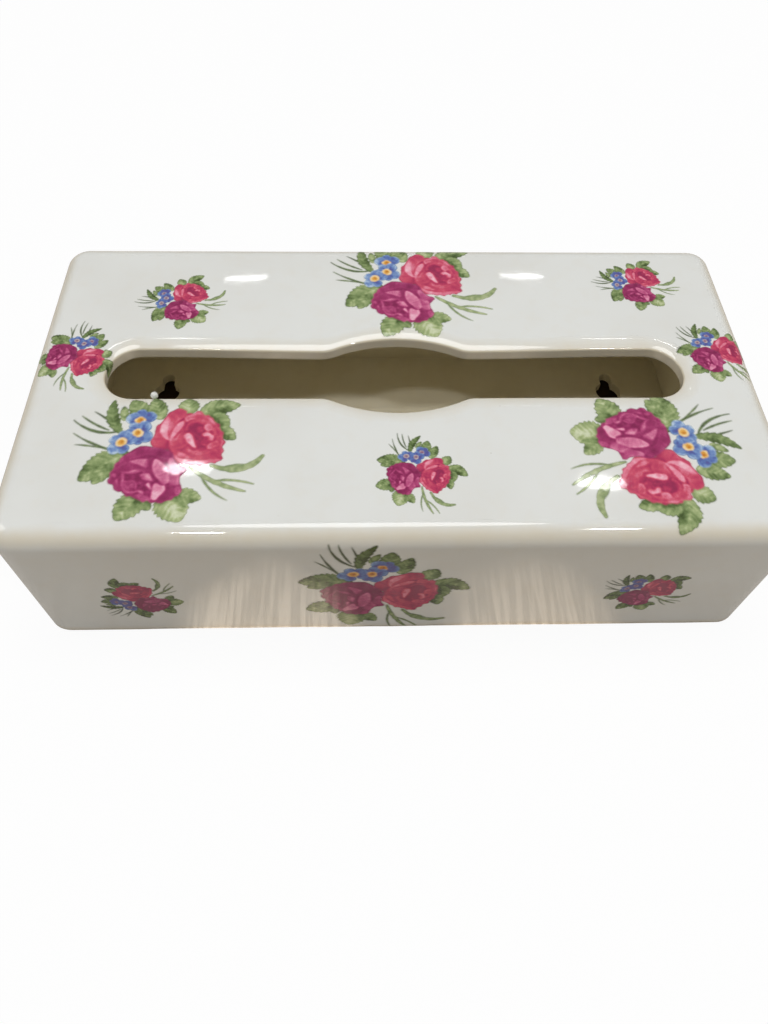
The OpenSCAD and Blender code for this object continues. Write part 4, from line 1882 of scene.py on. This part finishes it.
    def sheet(self, stride: int) -> tuple[Array, Array, dict[str, Array]]:
        """The painted part of the grid.

        Args:
            stride: Takes every so many-th grid line.

        Returns:
            The points in millimetres, the square cells, and the values at the points.
        """
        shape = (len(self.across), len(self.up))
        number = np.arange(shape[0] * shape[1]).reshape(shape)[::stride, ::stride]
        cover = self.cover.reshape(shape)[::stride, ::stride]
        near = cover > 0.01
        near = near[:-1, :-1] | near[1:, :-1] | near[:-1, 1:] | near[1:, 1:]
        i, j = np.nonzero(near)
        cells = np.stack([number[i, j], number[i + 1, j], number[i + 1, j + 1], number[i, j + 1]], 1)
        used, cells = np.unique(cells, return_inverse=True)
        values = {"tone": self.tone[used], "cover": self.cover[used]}
        sum_so_far = np.full(len(used), 1e-6)
        for ink, amount in self.inks.items():
            sum_so_far = sum_so_far + amount[used]
            values[ink.label] = amount[used] / sum_so_far
        return self.points[used], cells.reshape(-1, 4), values


class Face(Enum):
    """The face of the cover that a spray is laid on, as a turn from the front in degrees."""

    TOP = None
    FRONT = 0
    RIGHT = 90
    BACK = 180
    LEFT = 270


@dataclass(frozen=True)
class SprayPlace:
    """Where a spray lies.

    `across` and `up` are shares: of half the length and half the depth on the top, and of half the
    wall's length and the height on a wall.
    """

    name: str
    face: Face
    across: float
    up: float
    turn: float
    large: bool = False


PLACES = (
    SprayPlace("top_front_left", Face.TOP, -0.592, -0.529, 0, True),
    SprayPlace("top_front_middle", Face.TOP, 0.040, -0.651, -46),
    SprayPlace("top_front_right", Face.TOP, 0.638, -0.536, -127, True),
    SprayPlace("top_back_left", Face.TOP, -0.615, 0.514, 24),
    SprayPlace("top_back_middle", Face.TOP, 0.062, 0.633, 0, True),
    SprayPlace("top_back_right", Face.TOP, 0.742, 0.657, 18),
    SprayPlace("top_left_end", Face.TOP, -0.888, 0.100, -67),
    SprayPlace("top_right_end", Face.TOP, 0.908, 0.121, -25),
    SprayPlace("front_left", Face.FRONT, -0.685, 0.398, 66),
    SprayPlace("front_middle", Face.FRONT, -0.058, 0.438, -39, True),
    SprayPlace("front_right", Face.FRONT, 0.665, 0.414, -4),
    SprayPlace("back_left", Face.BACK, 0.640, 0.450, 30),
    SprayPlace("back_right", Face.BACK, -0.640, 0.450, -20),
    SprayPlace("left_end_wall", Face.LEFT, -0.150, 0.450, 10),
    SprayPlace("right_end_wall", Face.RIGHT, -0.350, 0.450, -30),
)


@dataclass
class RoseSprays:
    """The fired-on sprays: thin sheets of enamel that follow the glaze round its edges."""

    sizes: CoverSizes
    enamel: RoseEnamel
    lines: RingLines
    rim: SlotRim
    large_span: float = 64 * MM
    small_span: float = 33 * MM
    lift: float = 0.05 * MM
    # Painted shade: how much deeper in tone the sprays on the walls are made, for the lesser light that
    # reaches the walls.
    wall_painted_shade: float = 0.20
    small_depth: float = 0.11
    small_blue_depth: float = 0.10
    small_gold: float = 0.45
    foot_fade: float = 0.6 * MM
    painting: SprayPainting = field(default_factory=SprayPainting)

    def _bent_over(self, reach: Array, half: float) -> tuple[Array, Array]:
        """Bend a flat measure over the rounded edge.

        Args:
            reach: Distances from the cover's middle along the flat sheet.
            half: Half the cover's size that way.

        Returns:
            Distances from the middle as they come to lie, and how far the sheet drops.
        """
        bend = self.sizes.edge_radius
        over = np.maximum(np.abs(reach) - (half - bend), 0)
        angle = np.minimum(over / bend, math.pi / 2)
        lies = np.minimum(np.abs(reach), half - bend) + (bend + self.lift) * np.sin(angle)
        drop = (bend + self.lift) * (1 - np.cos(angle)) + np.maximum(over - bend * math.pi / 2, 0)
        return np.sign(reach) * lies, drop

    def _over_the_rim(self, flat: Array, height: Array) -> tuple[Array, Array]:
        """Bend what comes near the slot over its rim.

        Args:
            flat: Points as they lie on the top.
            height: Their heights.

        Returns:
            The points and heights, with those near the slot moved onto its rim.
        """
        line, outward = self.lines.slot()
        gap, along = edge_distance(flat, line)
        gap = np.where(inside(flat, line), -gap, gap)
        close = np.nonzero(gap < self.rim.start)[0]
        if len(close) == 0:
            return flat, height
        station = along[close] * len(line)
        first = np.floor(station).astype(int) % len(line)
        share = (station - np.floor(station))[:, None]
        following = (first + 1) % len(line)
        foot = line[first] * (1 - share) + line[following] * share
        way_out = outward[first] * (1 - share) + outward[following] * share
        out, lies, turn = self.rim.bent(self.rim.start - gap[close])
        flat, height = flat.copy(), height.copy()
        flat[close] = foot + way_out * (out - self.lift * np.sin(turn))[:, None]
        height[close] = lies + self.lift * np.cos(turn)
        return flat, height

    def _on_top(self, flat: Array) -> Array:
        """Lay flat points on the top.

        Args:
            flat: Points on the top's plane.

        Returns:
            Where they come to lie.
        """
        s = self.sizes
        x, drop_x = self._bent_over(flat[:, 0], s.length / 2)
        y, drop_y = self._bent_over(flat[:, 1], s.depth / 2)
        height = s.height + self.lift - drop_x - drop_y
        laid, height = self._over_the_rim(np.stack([x, y], 1), height)
        return s.sagged(np.concatenate([laid, height[:, None]], 1))

    def _on_wall(self, flat: Array, turn: float, reach: float) -> Array:
        """Lay flat points on a wall.

        Args:
            flat: Points along the wall and up it.
            turn: The wall's turn from the front, in radians.
            reach: How far the wall stands from the cover's middle.

        Returns:
            Where they come to lie.
        """
        s = self.sizes
        over = np.maximum(flat[:, 1] - (s.height - s.edge_radius), 0)
        angle = np.minimum(over / s.edge_radius, math.pi / 2)
        bend = s.edge_radius + self.lift
        height = np.minimum(flat[:, 1], s.height - s.edge_radius) + bend * np.sin(angle)
        inward = bend * (1 - np.cos(angle)) + np.maximum(over - s.edge_radius * math.pi / 2, 0)
        forward = -(reach + self.lift - inward)
        x = flat[:, 0] * math.cos(turn) - forward * math.sin(turn)
        y = flat[:, 0] * math.sin(turn) + forward * math.cos(turn)
        return np.stack([x, y, height], 1)

    def _lay(self, place: SprayPlace, points: Array) -> Array:
        """Lay a spray's points in their place.

        Args:
            place: The spray's place.
            points: Points of the drawing in millimetres.

        Returns:
            Where they come to lie, in metres.
        """
        s = self.sizes
        share = (self.large_span if place.large else self.small_span) / self.large_span
        turn = math.radians(place.turn)
        spin = np.array([[math.cos(turn), math.sin(turn)], [-math.sin(turn), math.cos(turn)]])
        local = (points * MM * share) @ spin
        if place.face is Face.TOP:
            return self._on_top(local + (place.across * s.length / 2, place.up * s.depth / 2))
        ends = place.face in (Face.LEFT, Face.RIGHT)
        half, reach = (s.depth / 2, s.length / 2) if ends else (s.length / 2, s.depth / 2)
        flat = local + (place.across * half, place.up * s.height)
        return self._on_wall(flat, math.radians(place.face.value), reach)

    def spray(self, place: SprayPlace, material: bpy.types.Material) -> bpy.types.Object:
        """Make one spray.

        Args:
            place: Its place.
            material: The enamel.

        Returns:
            The spray.
        """
        points, cells, values = self.painting.sheet(1 if place.large else 2)
        laid = self._lay(place, points)
        if not place.large:
            eyes = values[Ink.GOLD.label]
            blue = np.maximum(values[Ink.BLUE.label], eyes)
            values[Ink.GOLD.label], values[Ink.BLUE.label] = self.small_gold * eyes, blue
            values["tone"] = values["tone"] - self.small_depth - self.small_blue_depth * blue
        # Painted shade: the sprays on the walls are made deeper in tone, standing for the lesser light on
        # the upright walls.
        if place.face is not Face.TOP:
            values["tone"] = values["tone"] - self.wall_painted_shade
        over_foot = np.clip((laid[:, 2] - self.sizes.bare_foot) / self.foot_fade, 0, 1)
        values["cover"] = values["cover"] * over_foot
        shown = over_foot > 0
        used, cells = np.unique(cells[shown[cells].all(1)], return_inverse=True)
        made = MeshMaker()
        made.take(laid[used], {name: value[used] for name, value in values.items()})
        made.faces = [tuple(cell) for cell in cells.reshape(-1, 4).tolist()]
        piece = made.object("rose_spray_" + place.name, weld=False)
        piece.data.materials.append(material)
        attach(piece, "root")
        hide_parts("spray_" + place.name)
        return piece

    def build(self) -> list[bpy.types.Object]:
        """Paint the spray once and lay all of them."""
        self.painting.paint_all()
        material = self.enamel.material()
        return [self.spray(place, material) for place in PLACES]


# --------------------------------------------------------------------------- the studio


@dataclass(frozen=True)
class Lamp:
    """A soft lamp, aimed at a spot on the cover's top, by angles in degrees and sizes in metres."""

    name: str
    azimuth: float
    elevation: float
    distance: float
    width: float
    depth: float
    brightness: float
    spot: Point = (0.0, 0.0)
    twist: float = 0.0

    @property
    def way(self) -> Vector:
        """The direction from the spot to the lamp."""
        azimuth, elevation = math.radians(self.azimuth), math.radians(self.elevation)
        flat = math.cos(elevation)
        return Vector((math.sin(azimuth) * flat, math.cos(azimuth) * flat, math.sin(elevation)))


LAMPS = (
    Lamp("front_right_lamp", 138.5, 59, 2.2, 0.15, 0.14, 105.0),
    Lamp("front_left_lamp", -153, 60, 2.2, 0.15, 0.14, 100.0),
    Lamp("overhead_soft_box", 0, 80, 2.4, 1.3, 1.0, 4.15),
    Lamp("left_soft_box", -82, 45, 2.2, 0.9, 0.9, 2.9),
    Lamp("right_soft_box", 82, 45, 2.2, 0.9, 0.9, 2.9),
    Lamp("left_back_glint", -10.3, 39.4, 2.4, 0.15, 0.018, 10.0, (-0.057, 0.0474), -6.5),
    Lamp("right_back_glint", 15.0, 38.8, 2.4, 0.15, 0.018, 10.0, (0.0502, 0.0478), 9.6),
    Lamp("left_far_glint", -20.3, 51.3, 2.4, 0.17, 0.045, 15.0, (-0.0687, -0.0412), -12.0),
    Lamp("right_far_glint", 28.6, 50.8, 2.4, 0.17, 0.045, 15.0, (0.0639, -0.0482), 17.0),
)


@dataclass
class Studio:
    """The floor, the lamps and the camera."""

    sizes: CoverSizes
    floor: PaleFloor = field(default_factory=PaleFloor)
    floor_radius: float = 3.0
    floor_points: int = 96
    room: Colour = (1.0, 0.99, 0.97, 1.0)
    room_strength: float = 0.18
    lens: float = 26.68
    film_width: float = 36.0
    nearest: float = 0.01
    camera_place: Place = (-0.0136, -0.1904, 0.2626)
    pitch: float = 56.67
    yaw: float = 3.25
    roll: float = 2.3

    def build_floor(self) -> None:
        """Lay the floor, a wide round board under the cover."""
        made = MeshMaker()
        made.fill([circle_points(self.floor_points) * self.floor_radius], 0.0, True)
        board = made.object("floor")
        s = self.sizes
        board.data.materials.append(self.floor.material(s.length / 2 - s.wall, s.depth / 2 - s.wall))

    def build_lamps(self) -> None:
        """Hang the lamps round the cover."""
        for lamp in LAMPS:
            light = bpy.data.lights.new(lamp.name, "AREA")
            light.shape = "ELLIPSE"
            light.size, light.size_y = lamp.width, lamp.depth
            light.energy = lamp.brightness * math.pi * lamp.width * lamp.depth
            held = bpy.data.objects.new(lamp.name, light)
            held.location = Vector((*lamp.spot, self.sizes.height)) + lamp.way * lamp.distance
            twist = Matrix.Rotation(math.radians(lamp.twist), 3, "Z")
            held.rotation_euler = (lamp.way.to_track_quat("Z", "Y").to_matrix() @ twist).to_euler()
            bpy.context.scene.collection.objects.link(held)

    def build_world(self) -> None:
        """Fill the room with soft even light; the camera sees it white."""
        graph = Graph(bpy.data.worlds.new("room"))
        seen = graph.add("LightPath", None, None, "Is Camera Ray")
        room = graph.add("Background", None, {"Color": self.room, "Strength": self.room_strength})
        white = graph.add("Background", None, {"Color": WHITE, "Strength": 1.0})
        world = graph.finish(graph.add("MixShader", None, {0: seen, 1: room, 2: white}))
        bpy.context.scene.world = world

    def build_camera(self) -> None:
        """Set the camera where the photograph was taken from."""
        pitch, yaw, roll = (math.radians(a) for a in (self.pitch, self.yaw, self.roll))
        level = math.cos(pitch)
        ahead = Vector((math.sin(yaw) * level, math.cos(yaw) * level, -math.sin(pitch)))
        right = Vector((math.cos(yaw), -math.sin(yaw), 0))
        up = right.cross(ahead)
        turned_right = math.cos(roll) * right + math.sin(roll) * up
        turned_up = math.cos(roll) * up - math.sin(roll) * right
        lens = bpy.data.cameras.new("camera")
        lens.lens, lens.sensor_width, lens.sensor_fit = self.lens, self.film_width, "AUTO"
        lens.clip_start = self.nearest
        camera = bpy.data.objects.new("camera", lens)
        frame = Matrix((turned_right, turned_up, -ahead)).transposed().to_4x4()
        frame.translation = Vector(self.camera_place)
        camera.matrix_world = frame
        bpy.context.scene.collection.objects.link(camera)
        bpy.context.scene.camera = camera

    def build(self) -> None:
        """Build all of it."""
        self.build_floor()
        self.build_lamps()
        self.build_world()
        self.build_camera()
        bpy.context.scene.view_settings.view_transform = "Standard"


def main() -> None:
    """Load the frame, build every piece round it, and report each one."""
    logging.basicConfig(level=logging.INFO, format="%(name)s: %(message)s")
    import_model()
    sizes = CoverSizes()
    lines = RingLines(sizes)
    glaze = GlossyGlaze("white_glaze", paint(232, 233, 229), paint(228, 228, 223), paint(222, 208, 178))
    cream = (paint(248, 241, 218), paint(241, 232, 204), paint(214, 197, 160))
    lining = GlossyGlaze("cream_lining_glaze", *cream)
    rim = SlotRim(sizes.height, sizes.height - sizes.wall)
    shell = GlazedShell(sizes, lines, glaze, lining, BiscuitClay(), rim)
    ledge = HangingLedge(sizes, GlossyGlaze("ledge_glaze", *cream))
    sprays = RoseSprays(sizes, RoseEnamel(glaze), lines, rim)
    for piece in shell.build() + [ledge.build()] + sprays.build():
        log.info("%s: %d faces", piece.name, len(piece.data.polygons))
    Studio(sizes).build()


if __name__ == "__main__":
    main()
